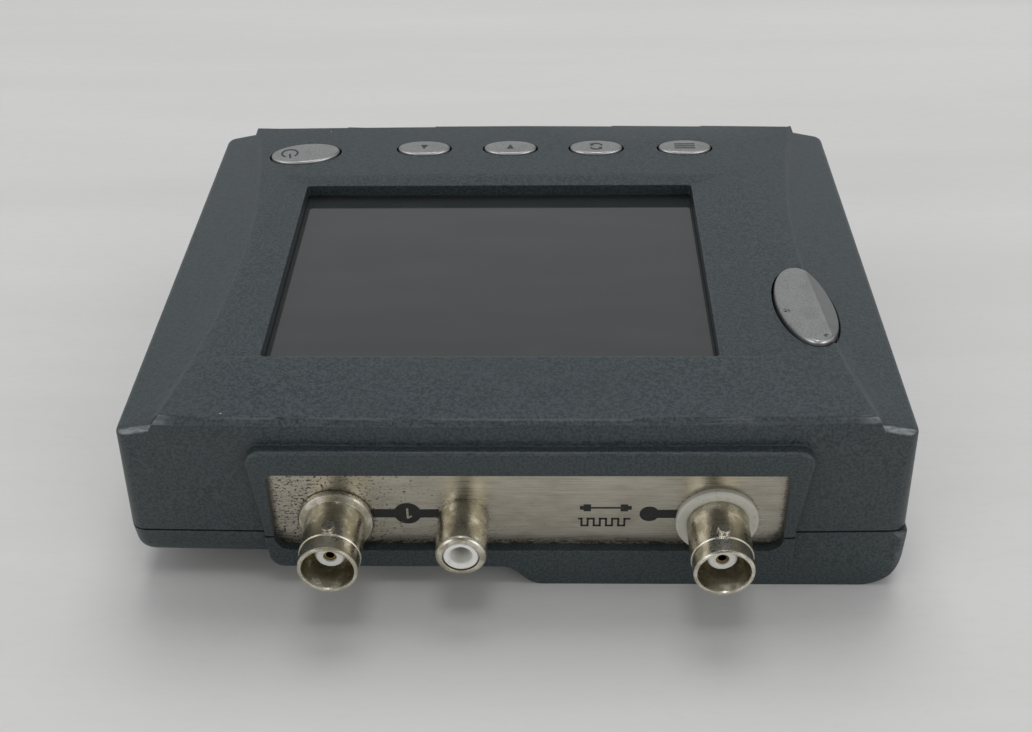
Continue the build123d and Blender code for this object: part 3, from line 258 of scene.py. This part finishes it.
def screen_plastic():
    """Polished dark window: faint haze of wiped smudges and a few specks of dust."""
    f = Finish("screen_plastic")
    smear = f.noise((26 * MM, 7 * MM, 9 * MM), seed=12, detail=4.0, roughness=0.6)
    fine = f.noise(1.1 * MM, seed=13, detail=3.0)
    haze = f.ramp(smear, 0.35, 0.75)
    colour = f.mix(haze, (0.026, 0.029, 0.029), (0.033, 0.036, 0.036))
    colour = f.mix(f.specks(9 * MM, 0.12 * MM, 0.3, seed=14), colour, (0.35, 0.36, 0.35))
    roughness = f.math("MULTIPLY_ADD", haze, 0.07, f.ramp(fine, 0.3, 0.7, 0.05, 0.08))
    f.set(Base_Color=colour, Roughness=roughness, IOR=1.5, Coat_Weight=0.35, Coat_Roughness=0.04)
    f.set(Normal=f.bump(fine, 0.0006 * MM))
    return f.material


def printed_ink():
    """Matt black print, thinning here and there to what is under it."""
    f = Finish("printed_ink")
    worn = f.ramp(f.noise(0.5 * MM, seed=15, detail=4.0), 0.6, 0.75, 0.0, 0.45)
    colour = f.mix(worn, (0.010, 0.010, 0.010), (0.10, 0.095, 0.08))
    f.set(Base_Color=colour, Roughness=f.ramp(f.noise(0.3 * MM, seed=16), 0.3, 0.7, 0.4, 0.6))
    return f.material


def key_print():
    """Dark grey print on the keys."""
    f = Finish("key_print")
    grain = f.noise(0.25 * MM, seed=17, detail=3.0)
    f.set(Base_Color=f.mix(f.ramp(grain, 0.4, 0.7), (0.022, 0.023, 0.024), (0.06, 0.062, 0.064)))
    f.set(Roughness=f.ramp(grain, 0.3, 0.7, 0.45, 0.6), Normal=f.bump(grain, 0.004 * MM))
    return f.material


# ---- Metals ---------------------------------------------------------------------------------
def plate_metal():
    """Brushed nickel-plated steel: brush lines along X, brown pitting that is worst at the left."""
    f = Finish("plate_metal")
    low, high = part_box("connector_plate")
    brush = f.noise((9 * MM, 1.0 * MM, 0.09 * MM), seed=18, detail=3.0, roughness=0.6)
    cloud = f.noise((7 * MM, 5 * MM, 3 * MM), seed=19, detail=5.0, roughness=0.6)
    colour = f.mix(f.ramp(brush, 0.3, 0.7), (0.45, 0.42, 0.355), (0.58, 0.55, 0.475))
    colour = f.mix(f.ramp(cloud, 0.42, 0.7, 0.0, 0.45), colour, (0.33, 0.29, 0.215))
    x = f.axis(f.place, "X")
    z = f.axis(f.place, "Z")
    leftward = f.ramp(x, low.x + 0.55 * (high.x - low.x), low.x + 8 * MM, 0.0, 1.0)
    foot = f.ramp(z, low.z + 3.6 * MM, low.z + 1.4 * MM)
    roots = f.crevices(5 * MM)
    heavy = f.math("MAXIMUM", f.math("MULTIPLY", leftward, 0.8), f.math("MAXIMUM", foot, roots))
    pit_shape = f.noise((0.55 * MM, 0.4 * MM, 0.4 * MM), seed=20, detail=4.0, roughness=0.7)
    limit = f.math("MULTIPLY_ADD", heavy, -0.19, 0.70)
    over = f.math("SUBTRACT", pit_shape, limit)
    pits = f.ramp(over, 0.0, 0.035)
    colour = f.mix(pits, colour, (0.055, 0.040, 0.024))
    # darker in blotches towards the bottom of the plate, and matt and not metallic there
    foot_darkening_shape = f.noise((2.5 * MM, 1 * MM, 0.8 * MM), seed=21, detail=4.0)
    foot_darkening = f.math("MULTIPLY", foot, f.ramp(foot_darkening_shape, 0.35, 0.6))
    colour = f.mix(foot_darkening, colour, (0.035, 0.028, 0.018))
    cover = f.math("MAXIMUM", pits, foot_darkening)
    f.set(Base_Color=colour, Metallic=f.math("SUBTRACT", 1.0, f.math("MULTIPLY", cover, 0.8)))
    f.set(Roughness=f.math("MULTIPLY_ADD", cover, 0.3, f.ramp(brush, 0.3, 0.7, 0.24, 0.36)))
    f.set(Normal=f.bump(pits, -0.02 * MM, f.bump(brush, 0.004 * MM)))
    return f.material


def tarnished(name, bright, dull, roughness):
    """Plated metal: yellowish tarnish in blotches, dark in its corners, bright where it is rubbed."""
    f = Finish(name)
    blotch = f.noise(2.6 * MM, seed=22, detail=6.0, roughness=0.62)
    fine = f.noise(0.35 * MM, seed=23, detail=4.0, roughness=0.6)
    turned = f.noise((6 * MM, 0.10 * MM, 6 * MM), seed=24, detail=2.0)
    tarnish = f.ramp(blotch, 0.36, 0.62)
    colour = f.mix(tarnish, bright, dull)
    pits = f.ramp(fine, 0.63, 0.70)
    colour = f.mix(f.math("MULTIPLY", pits, 0.8), colour, tuple(0.22 * c for c in dull))
    colour = f.mix(f.math("MULTIPLY", f.crevices(1.5 * MM), 0.7), colour, tuple(0.2 * c for c in dull))
    rubbed = f.edges(0.25 * MM)
    colour = f.mix(f.math("MULTIPLY", rubbed, 0.85), colour, tuple(min(1.0, 1.25 * c) for c in bright))
    spread = f.math("MULTIPLY_ADD", tarnish, 0.14, f.ramp(fine, 0.3, 0.7, roughness, roughness + 0.10))
    f.set(Base_Color=colour, Metallic=1.0, Roughness=spread)
    f.set(Normal=f.bump(fine, 0.010 * MM, f.bump(turned, 0.004 * MM, f.rounded(0.12 * MM))))
    return f.material


def sheet_metal(name, bright, dull, roughness, size=2.0 * MM):
    """Clean rolled or drawn metal for the parts inside."""
    f = Finish(name)
    lines = f.noise((size * 4, size * 0.1, size * 0.1), seed=25, detail=3.0)
    cloud = f.noise(size, seed=26, detail=4.0)
    colour = f.mix(f.ramp(cloud, 0.35, 0.65), bright, dull)
    f.set(Base_Color=colour, Metallic=1.0, Roughness=f.ramp(lines, 0.3, 0.7, roughness, roughness + 0.15))
    f.set(Normal=f.bump(lines, 0.004 * MM, f.rounded(0.1 * MM)))
    return f.material


def silver_key():
    """Satin silver paint on the keys: rims worn bright, a painted highlight on faces toward the front,
    painted shade on faces tilted toward +X, and chips on the thumb key.
    """
    f = Finish("silver_key")
    low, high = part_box("thumb_button")
    flake = f.noise(0.22 * MM, seed=27, detail=2.0)
    cloud = f.noise(3.0 * MM, seed=28, detail=4.0)
    colour = f.mix(f.ramp(flake, 0.35, 0.65), (0.28, 0.285, 0.28), (0.40, 0.405, 0.395))
    colour = f.mix(f.ramp(cloud, 0.45, 0.75, 0.0, 0.3), colour, (0.20, 0.20, 0.195))
    colour = f.mix(f.math("MULTIPLY", f.edges(0.5 * MM), 0.5), colour, (0.70, 0.70, 0.69))
    # painted shade on the faces that tilt toward +X, such as the thumb key's facet
    painted_slope_shade = f.ramp(f.axis(f.facing, "X"), 0.12, 0.34, 0.0, 0.55)
    colour = f.mix(painted_slope_shade, colour, (0.13, 0.135, 0.135))
    # painted highlight on the faces that turn toward the front (-Y)
    painted_front_highlight = f.ramp(f.axis(f.facing, "Y"), -0.25, -0.75)
    colour = f.mix(f.math("MULTIPLY", painted_front_highlight, 0.7), colour, (0.85, 0.85, 0.84))
    ragged = f.ramp(f.noise(0.5 * MM, seed=29, detail=3.0), 0.4, 0.55)
    middle = (low + high) / 2
    left_chip = Vector((low.x + 2.3 * MM, middle.y - 2.4 * MM, high.z - 0.2 * MM))
    front_chip = Vector((middle.x + 1.9 * MM, low.y + 2.6 * MM, high.z - 0.4 * MM))
    chips = f.math("MAXIMUM", f.near(left_chip, 0.8 * MM), f.near(front_chip, 0.75 * MM))
    chips = f.math("MULTIPLY", chips, ragged)
    colour = f.mix(chips, colour, (0.02, 0.02, 0.02))
    f.set(Base_Color=colour, Metallic=f.math("MULTIPLY_ADD", chips, -0.8, 0.85))
    f.set(Roughness=f.ramp(flake, 0.3, 0.7, 0.30, 0.42), Normal=f.bump(flake, 0.008 * MM))
    return f.material


# ---- Inside ---------------------------------------------------------------------------------
def circuit_board():
    """Green solder mask over copper traces, with plated holes."""
    f = Finish("circuit_board")
    tracks = f.node("ShaderNodeTexBrick", offset=0.5)
    f.feed(tracks.inputs["Vector"], f.scaled(1.0 * MM, 30))
    layout = {"Scale": 0.6, "Mortar Size": 0.035, "Brick Width": 3.1, "Row Height": 0.42}
    for key, value in layout.items():
        f.feed(tracks.inputs[key], value)
    colour = f.mix(tracks.outputs["Fac"], (0.012, 0.10, 0.038), (0.03, 0.19, 0.07))
    cloud = f.noise(6 * MM, seed=31, detail=3.0)
    colour = f.mix(f.ramp(cloud, 0.4, 0.7, 0.0, 0.3), colour, (0.01, 0.07, 0.03))
    holes = f.specks(2.2 * MM, 0.28 * MM, 0.3, seed=32)
    colour = f.mix(holes, colour, (0.55, 0.42, 0.18))
    fine = f.noise(0.5 * MM, seed=33)
    f.set(Base_Color=colour, Metallic=holes, Roughness=f.ramp(fine, 0.3, 0.7, 0.22, 0.38))
    f.set(Normal=f.bump(tracks.outputs["Fac"], 0.02 * MM))
    return f.material


def battery_sleeve():
    """Dark shrink sleeve; the flat ends and the nubs are bare steel."""
    f = Finish("battery_sleeve")
    ends = f.math("GREATER_THAN", f.math("ABSOLUTE", f.axis(f.facing, "X")), 0.7)
    wrinkle = f.noise((18 * MM, 2 * MM, 2 * MM), seed=34, detail=4.0)
    sleeve = f.mix(f.ramp(wrinkle, 0.35, 0.65), (0.05, 0.09, 0.065), (0.08, 0.135, 0.095))
    f.set(Base_Color=f.mix(ends, sleeve, (0.55, 0.55, 0.53)), Metallic=ends)
    f.set(Roughness=f.ramp(wrinkle, 0.3, 0.7, 0.22, 0.4), Normal=f.bump(wrinkle, 0.03 * MM))
    return f.material


def paper_cone():
    """Pressed paper fibres."""
    f = Finish("paper_cone")
    fibre = f.noise((1.5 * MM, 0.2 * MM, 0.2 * MM), seed=35, detail=5.0, roughness=0.7)
    f.set(Base_Color=f.mix(fibre, (0.035, 0.031, 0.026), (0.10, 0.09, 0.075)), Roughness=0.9)
    f.set(Normal=f.bump(fibre, 0.05 * MM))
    return f.material


def light_box():
    """Milky diffuser sheet over the backlight."""
    f = Finish("light_box")
    dimple = f.specks(0.9 * MM, 0.25 * MM, 1.0, seed=36)
    f.set(Base_Color=f.mix(dimple, (0.74, 0.74, 0.71), (0.86, 0.86, 0.84)), Roughness=0.55)
    f.set(Normal=f.bump(dimple, 0.02 * MM))
    return f.material


def ribbon():
    """Amber film with copper lines under it."""
    f = Finish("ribbon")
    x = f.math("FRACT", f.math("DIVIDE", f.axis(f.place, "X"), 0.8 * MM))
    line = f.math("LESS_THAN", x, 0.5)
    colour = f.mix(line, (0.32, 0.13, 0.022), (0.46, 0.22, 0.05))
    gloss = f.ramp(f.noise(1.5 * MM, seed=37, detail=3.0), 0.3, 0.7, 0.2, 0.35)
    f.set(Base_Color=colour, Roughness=gloss, Normal=f.bump(line, 0.01 * MM))
    return f.material


def wire_cover():
    """Soft red insulation with scuffs."""
    f = Finish("wire_cover")
    scuff = f.noise((0.5 * MM, 0.5 * MM, 3 * MM), seed=38, detail=4.0)
    f.set(Base_Color=f.mix(f.ramp(scuff, 0.5, 0.75), (0.30, 0.018, 0.014), (0.42, 0.09, 0.07)))
    f.set(Roughness=f.ramp(scuff, 0.3, 0.7, 0.35, 0.5), Normal=f.bump(scuff, 0.01 * MM))
    return f.material


INK = printed_ink()
KEY_INK = key_print()
PLATE = plate_metal()
FINISHES = {
    "case": case_plastic(),
    "plate_steel": PLATE,
    "nickel": tarnished("tarnished_nickel", (0.74, 0.705, 0.61), (0.43, 0.395, 0.29), 0.18),
    "dielectric": soiled_white("dielectric_white", (0.88, 0.87, 0.83), (0.45, 0.40, 0.30), 0.22),
    "washer": soiled_white("washer_white", (0.64, 0.625, 0.55), (0.28, 0.255, 0.18), 0.5),
    "contact": tarnished("contact_brass", (0.50, 0.38, 0.18), (0.20, 0.13, 0.06), 0.28),
    "foam": plain_plastic("gasket_foam", (0.008, 0.008, 0.009), (0.02, 0.02, 0.021), 0.85, 0.25 * MM),
    "screen": screen_plastic(),
    "lcd": plain_plastic("lcd_glass", (0.012, 0.012, 0.015), (0.022, 0.022, 0.026), 0.15, 2 * MM),
    "backlight": light_box(),
    "sheet_metal": sheet_metal("tinned_sheet", (0.58, 0.58, 0.56), (0.42, 0.42, 0.40), 0.28),
    "flex": ribbon(),
    "board": circuit_board(),
    "chip": plain_plastic("epoxy_black", (0.010, 0.010, 0.011), (0.024, 0.024, 0.025), 0.5, 0.15 * MM),
    "switch_plastic": plain_plastic("switch_black", (0.012, 0.012, 0.013), (0.03, 0.03, 0.032), 0.42),
    "silver_key": silver_key(),
    "screw_steel": sheet_metal("zinc_steel", (0.50, 0.50, 0.50), (0.32, 0.32, 0.31), 0.25, 1.0 * MM),
    "cell": battery_sleeve(),
    "cone": paper_cone(),
    "wire": wire_cover(),
}

WELD_DISTANCE = 0.001 * MM
CREASE_ANGLE = math.radians(24)


def smooth_with_creases(carried):
    """Shades a node smoothly, but keeps an edge sharp where it turns by more than the crease angle."""
    faces = carried.data.polygons
    faces.foreach_set("use_smooth", [True] * len(faces))
    weld = carried.modifiers.new("weld", "WELD")
    weld.merge_threshold = WELD_DISTANCE
    creases = carried.modifiers.new("creases", "EDGE_SPLIT")
    creases.split_angle = CREASE_ANGLE


for subpart in frame["record"]["subparts"]:
    carried = nodes[subpart["node"]]
    carried.data.materials.clear()
    carried.data.materials.append(FINISHES[subpart["material_slot"]])
    smooth_with_creases(carried)


# ---- Printed marks, as thin raised shapes ---------------------------------------------------
# a print stands above its sheet by PRINT_T and reaches below it by SUNK
PRINT_T = 0.03 * MM
SUNK = 0.02 * MM


class Sheet:
    """A flat place to print on: an origin, the direction a glyph reads, and its upward direction."""

    def __init__(self, origin, right, up):
        self.origin = Vector(origin)
        self.right = Vector(right)
        self.up = Vector(up)
        self.out = self.right.cross(self.up)

    def point(self, x, y, height):
        return self.origin + self.right * (x * MM) + self.up * (y * MM) + self.out * height


def printed(name, sheet, outlines, body, material):
    """Closed prisms over the outlines, given in millimetres on the sheet."""
    mesh = bmesh.new()
    for outline in outlines:
        lower = [mesh.verts.new(sheet.point(x, y, -SUNK)) for x, y in outline]
        upper = [mesh.verts.new(sheet.point(x, y, PRINT_T)) for x, y in outline]
        mesh.faces.new(upper)
        mesh.faces.new(list(reversed(lower)))
        for i in range(len(outline)):
            j = (i + 1) % len(outline)
            mesh.faces.new((lower[i], lower[j], upper[j], upper[i]))
    bmesh.ops.recalc_face_normals(mesh, faces=mesh.faces)
    data = bpy.data.meshes.new(name)
    mesh.to_mesh(data)
    mesh.free()
    data.materials.append(material)
    made = bpy.data.objects.new(name, data)
    bpy.context.scene.collection.objects.link(made)
    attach(made, body)


def on_circle(radius, degrees):
    """Point of a circle about the origin."""
    turn = math.radians(degrees)
    return radius * math.cos(turn), radius * math.sin(turn)


def arc(radius, start, end, steps=28):
    """Points along an arc about the origin, in degrees."""
    return [on_circle(radius, start + (end - start) * i / steps) for i in range(steps + 1)]


def arc_band(radius, width, start, end):
    """Outline of a stroke along an arc."""
    inner = arc(radius - width / 2, start, end)
    return arc(radius + width / 2, start, end) + inner[::-1]


def bar(x0, y0, x1, y1):
    """Outline of a box between two corners."""
    return [(x0, y0), (x1, y0), (x1, y1), (x0, y1)]


def stroke(points, width):
    """Boxes along a path of level and upright segments."""
    half = width / 2
    boxes = []
    for (x0, y0), (x1, y1) in zip(points, points[1:]):
        boxes.append(bar(min(x0, x1) - half, min(y0, y1) - half, max(x0, x1) + half, max(y0, y1) + half))
    return boxes


def disc_on_bar(radius, half, left, right):
    """Disc at the origin merged with a level bar that runs from left to right through it."""
    meet = math.degrees(math.asin(half / radius))
    outline = []
    if right > 0:
        outline += [(right, -half), (right, half)]
    outline += arc(radius, meet if right > 0 else 0, 180 - meet if left < 0 else 180)
    if left < 0:
        outline += [(left, half), (left, -half)]
    return outline + arc(radius, 180 + meet if left < 0 else 180, 360 - meet if right > 0 else 360)


def centre_x(node):
    low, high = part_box(node)
    return (low.x + high.x) / 2


# marks on the connector plate: they are printed upside down, for a person behind the case
plate_low, plate_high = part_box("connector_plate")
MARK_Z, PULSE_Z, LEAD_Z = 14.3 * MM, 13.2 * MM, 15.6 * MM
video_x, phono_x, test_x = (centre_x(n) for n in ("bnc_video_shell", "rca_shell", "bnc_test_shell"))

# millimetres on the plate: half the width of the joining line, how far from a connector's axis it
# starts, and for each badge its radius and its place along X from a connector
LINE_HALF = 0.9
FLANGE_REACH, PHONO_REACH, WASHER_REACH = 6.0, 3.9, 6.2
BADGE_R, BADGE_FROM_VIDEO = 2.25, 11.7
DOT_R, DOT_FROM_TEST = 1.6, -11.0
LEGEND_FROM_TEST = -18.1


def plate_sheet(x, z=MARK_Z):
    return Sheet((x, plate_low.y, z), (-1, 0, 0), (0, 0, -1))


badge_x = video_x + BADGE_FROM_VIDEO * MM
to_video = (badge_x - video_x) / MM - FLANGE_REACH
to_phono = (badge_x - phono_x) / MM + PHONO_REACH
badge = disc_on_bar(BADGE_R, LINE_HALF, to_phono, to_video)
printed("video_badge", plate_sheet(badge_x), [badge], "case", INK)

# the numeral lies on the badge in the plate's own metal: an upright stem and the flag at its top
STEM_HALF, STEM_REACH = 0.17, 1.1
stem = bar(-STEM_HALF, -STEM_REACH, STEM_HALF, STEM_REACH)
flag = [(-STEM_HALF, STEM_REACH), (-0.75, 0.62), (-0.60, 0.40), (-STEM_HALF, 0.72)]
badge_top = Sheet((badge_x, plate_low.y - PRINT_T, MARK_Z), (-1, 0, 0), (0, 0, -1))
printed("badge_numeral", badge_top, [stem, flag], "case", PLATE)

dot_x = test_x + DOT_FROM_TEST * MM
to_washer = (dot_x - test_x) / MM + WASHER_REACH
dot = disc_on_bar(DOT_R, LINE_HALF, to_washer, 0)
printed("test_badge", plate_sheet(dot_x), [dot], "case", INK)

# a pulse train over a plugged lead stands in for the words of the test socket
PULSES, PULSE_PITCH, PULSE_W, PULSE_H, PULSE_LINE = 4, 2.0, 1.0, 1.5, 0.34
TRAIN_START, FIRST_PULSE, TRAIN_END = -3.9, -3.1, 4.3
pulses = [(TRAIN_START, 0)]
for step in range(PULSES):
    x = FIRST_PULSE + PULSE_PITCH * step
    pulses += [(x, 0), (x, PULSE_H), (x + PULSE_W, PULSE_H), (x + PULSE_W, 0)]
pulses.append((TRAIN_END, 0))

CORD_REACH, PLUG_REACH, TIP_REACH = 2.4, 3.6, 4.2
CORD_HALF, PLUG_HALF, TIP_HALF = 0.17, 0.75, 0.4
lead = [bar(-CORD_REACH, -CORD_HALF, CORD_REACH, CORD_HALF)]
for side in (-1, 1):
    lead.append(bar(side * CORD_REACH, -PLUG_HALF, side * PLUG_REACH, PLUG_HALF))
    lead.append(bar(side * PLUG_REACH, -TIP_HALF, side * TIP_REACH, TIP_HALF))

legend_x = test_x + LEGEND_FROM_TEST * MM
train = stroke(pulses, PULSE_LINE)
printed("pulse_legend", plate_sheet(legend_x, PULSE_Z), train, "case", INK)
printed("lead_legend", plate_sheet(legend_x, LEAD_Z), lead, "case", INK)


# ---- Key symbols ----------------------------------------------------------------------------
def key_sheet(name, shift_x=0.0, shift_y=0.0, turn=0.0):
    """Top of a key, read from behind the case; turn in degrees."""
    low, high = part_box(name + "_button")
    angle = math.radians(turn)
    right = Vector((-math.cos(angle), -math.sin(angle), 0))
    origin = Vector(((low.x + high.x) / 2 + shift_x, (low.y + high.y) / 2 + shift_y, high.z))
    return Sheet(origin, right, Vector((math.sin(angle), -math.cos(angle), 0)))


def key_symbol(name, outlines, **place):
    sheet = key_sheet(name, **place)
    printed(name + "_symbol", sheet, outlines, name + "_key", KEY_INK)


# sizes of the symbols are in millimetres, angles in degrees
LINE_W = 0.42

# a ring, open at the top, round an upright bar; both are turned to the slant of the key
RING_R, RING_GAP = 1.6, 34
ring = arc_band(RING_R, LINE_W, 90 + RING_GAP, 450 - RING_GAP)
key_symbol("power", [ring, bar(-0.21, 0.25, 0.21, 2.1)], shift_x=-3.2 * MM, shift_y=-0.4 * MM, turn=11.0)

ARROW_HALF, ARROW_BASE, ARROW_TIP = 0.75, 0.85, 0.95
key_symbol("up", [[(-ARROW_HALF, -ARROW_BASE), (ARROW_HALF, -ARROW_BASE), (0, ARROW_TIP)]])
key_symbol("down", [[(-ARROW_HALF, ARROW_BASE), (0, -ARROW_TIP), (ARROW_HALF, ARROW_BASE)]])

# two arrows that chase each other round a circle
CHASE_R, CHASE_SWEEP, HEAD_SWEEP, HEAD_HALF = 1.25, 110, 40, 0.6
chase = []
for start in (20, 200):
    end = start + CHASE_SWEEP
    chase.append(arc_band(CHASE_R, LINE_W, start, end))
    tip = on_circle(CHASE_R, end + HEAD_SWEEP)
    chase.append([on_circle(CHASE_R + HEAD_HALF, end), tip, on_circle(CHASE_R - HEAD_HALF, end)])
key_symbol("swap", chase)

MENU_HALF, MENU_PITCH, MENU_BAR_HALF = 2.1, 0.85, 0.19
menu_rows = (-MENU_PITCH, 0.0, MENU_PITCH)
key_symbol("menu", [bar(-MENU_HALF, y - MENU_BAR_HALF, MENU_HALF, y + MENU_BAR_HALF) for y in menu_rows])


# ---- Table, light and camera ----------------------------------------------------------------
def table_top():
    """Pale laminate with faint streaks along X."""
    f = Finish("table_top")
    streak = f.noise((260 * MM, 26 * MM, 1.0), seed=40, detail=4.0, roughness=0.55)
    cloud = f.noise((120 * MM, 70 * MM, 1.0), seed=41, detail=3.0)
    fine = f.noise((3.5 * MM, 1.2 * MM, 1.0), seed=42, detail=4.0)
    colour = f.mix(f.ramp(streak, 0.3, 0.7), (0.645, 0.64, 0.627), (0.685, 0.68, 0.67))
    colour = f.mix(f.ramp(cloud, 0.4, 0.75, 0.0, 0.35), colour, (0.64, 0.635, 0.625))
    colour = f.mix(f.ramp(fine, 0.45, 0.8, 0.0, 0.25), colour, (0.60, 0.595, 0.58))
    f.set(Base_Color=colour, Roughness=0.5, Specular_IOR_Level=0.3)
    return f.material


TABLE_HALF = 3.0
TABLE_DROP = 0.05 * MM  # the case's underside and the table would flicker if they were in one plane
table_mesh = bmesh.new()
bmesh.ops.create_grid(table_mesh, x_segments=8, y_segments=8, size=TABLE_HALF)
table_data = bpy.data.meshes.new("table")
table_mesh.to_mesh(table_data)
table_mesh.free()
table_data.materials.append(table_top())
table = bpy.data.objects.new("table", table_data)
table.location.z = -TABLE_DROP
bpy.context.scene.collection.objects.link(table)

TARGET = Vector((0.0, 0.0, 0.02))


def softbox(name, place, size, watts, mirrored=True):
    """Square area light aimed at the object; mirrored says whether glossy faces show it."""
    data = bpy.data.lights.new(name, "AREA")
    data.shape = "SQUARE"
    data.size = size
    data.energy = watts
    made = bpy.data.objects.new(name, data)
    made.location = place
    made.visible_glossy = mirrored
    made.rotation_euler = (TARGET - Vector(place)).to_track_quat("-Z", "Y").to_euler()
    bpy.context.scene.collection.objects.link(made)


# metres and watts
softbox("ceiling_back", (0.15, 2.40, 3.90), 2.60, 84.0, mirrored=False)
softbox("ceiling_top", (0.00, -0.12, 1.50), 0.45, 2.4)
softbox("window_left", (-1.00, -1.05, 0.46), 0.90, 3.6)
softbox("window_right", (0.95, -1.05, 0.46), 0.90, 3.9)


def room_light():
    """Room round the table: bright ceiling behind, dim above the camera where someone stands."""
    world = bpy.data.worlds.new("room")
    world.use_nodes = True
    tree = world.node_tree
    tree.nodes.clear()
    output = tree.nodes.new("ShaderNodeOutputWorld")
    background = tree.nodes.new("ShaderNodeBackground")
    place = tree.nodes.new("ShaderNodeTexCoord")
    # for each: its direction, the two cosines from it that its change runs between, the level at each
    ceiling_behind = ((0.10, 0.80, 0.60), -0.2, 0.95, 0.0, 0.31)
    person_above = ((0.00, -0.62, 0.78), 0.80, 0.98, 0.29, 0.08)
    levels = []
    for direction, low, high, dark, bright in (ceiling_behind, person_above):
        product = tree.nodes.new("ShaderNodeVectorMath")
        product.operation = "DOT_PRODUCT"
        tree.links.new(place.outputs["Generated"], product.inputs[0])
        product.inputs[1].default_value = Vector(direction).normalized()
        ranged = tree.nodes.new("ShaderNodeMapRange")
        ranged.interpolation_type = "SMOOTHSTEP"
        tree.links.new(product.outputs["Value"], ranged.inputs[0])
        for socket, number in zip(ranged.inputs[1:5], (low, high, dark, bright)):
            socket.default_value = number
        levels.append(ranged.outputs[0])
    total = tree.nodes.new("ShaderNodeMath")
    total.operation = "ADD"
    tree.links.new(levels[0], total.inputs[0])
    tree.links.new(levels[1], total.inputs[1])
    background.inputs["Color"].default_value = (0.97, 0.985, 1.0, 1.0)
    tree.links.new(total.outputs[0], background.inputs["Strength"])
    tree.links.new(background.outputs[0], output.inputs["Surface"])
    bpy.context.scene.world = world


room_light()

# from in front of the connectors, looking down at the screen; lens and sensor in millimetres
CAMERA_PLACE = (5.16 * MM, -208.40 * MM, 167.68 * MM)
PITCH, YAW, ROLL = math.radians(36.935), math.radians(-1.649), math.radians(-1.010)
LENS, SENSOR = 47.81, 36.0

ahead = Vector((math.sin(YAW) * math.cos(PITCH), math.cos(YAW) * math.cos(PITCH), -math.sin(PITCH)))
level = Vector((math.cos(YAW), -math.sin(YAW), 0))
upward = level.cross(ahead)
side = level * math.cos(ROLL) + upward * math.sin(ROLL)
above = upward * math.cos(ROLL) - level * math.sin(ROLL)
camera_data = bpy.data.cameras.new("camera")
camera_data.lens = LENS
camera_data.sensor_width = SENSOR
camera_data.sensor_fit = "HORIZONTAL"
camera_data.clip_start = 10 * MM
camera = bpy.data.objects.new("camera", camera_data)
turned = Matrix((side, above, -ahead)).transposed().to_4x4()
camera.matrix_world = Matrix.Translation(CAMERA_PLACE) @ turned
bpy.context.scene.collection.objects.link(camera)
bpy.context.scene.camera = camera
bpy.context.scene.view_settings.view_transform = "Standard"
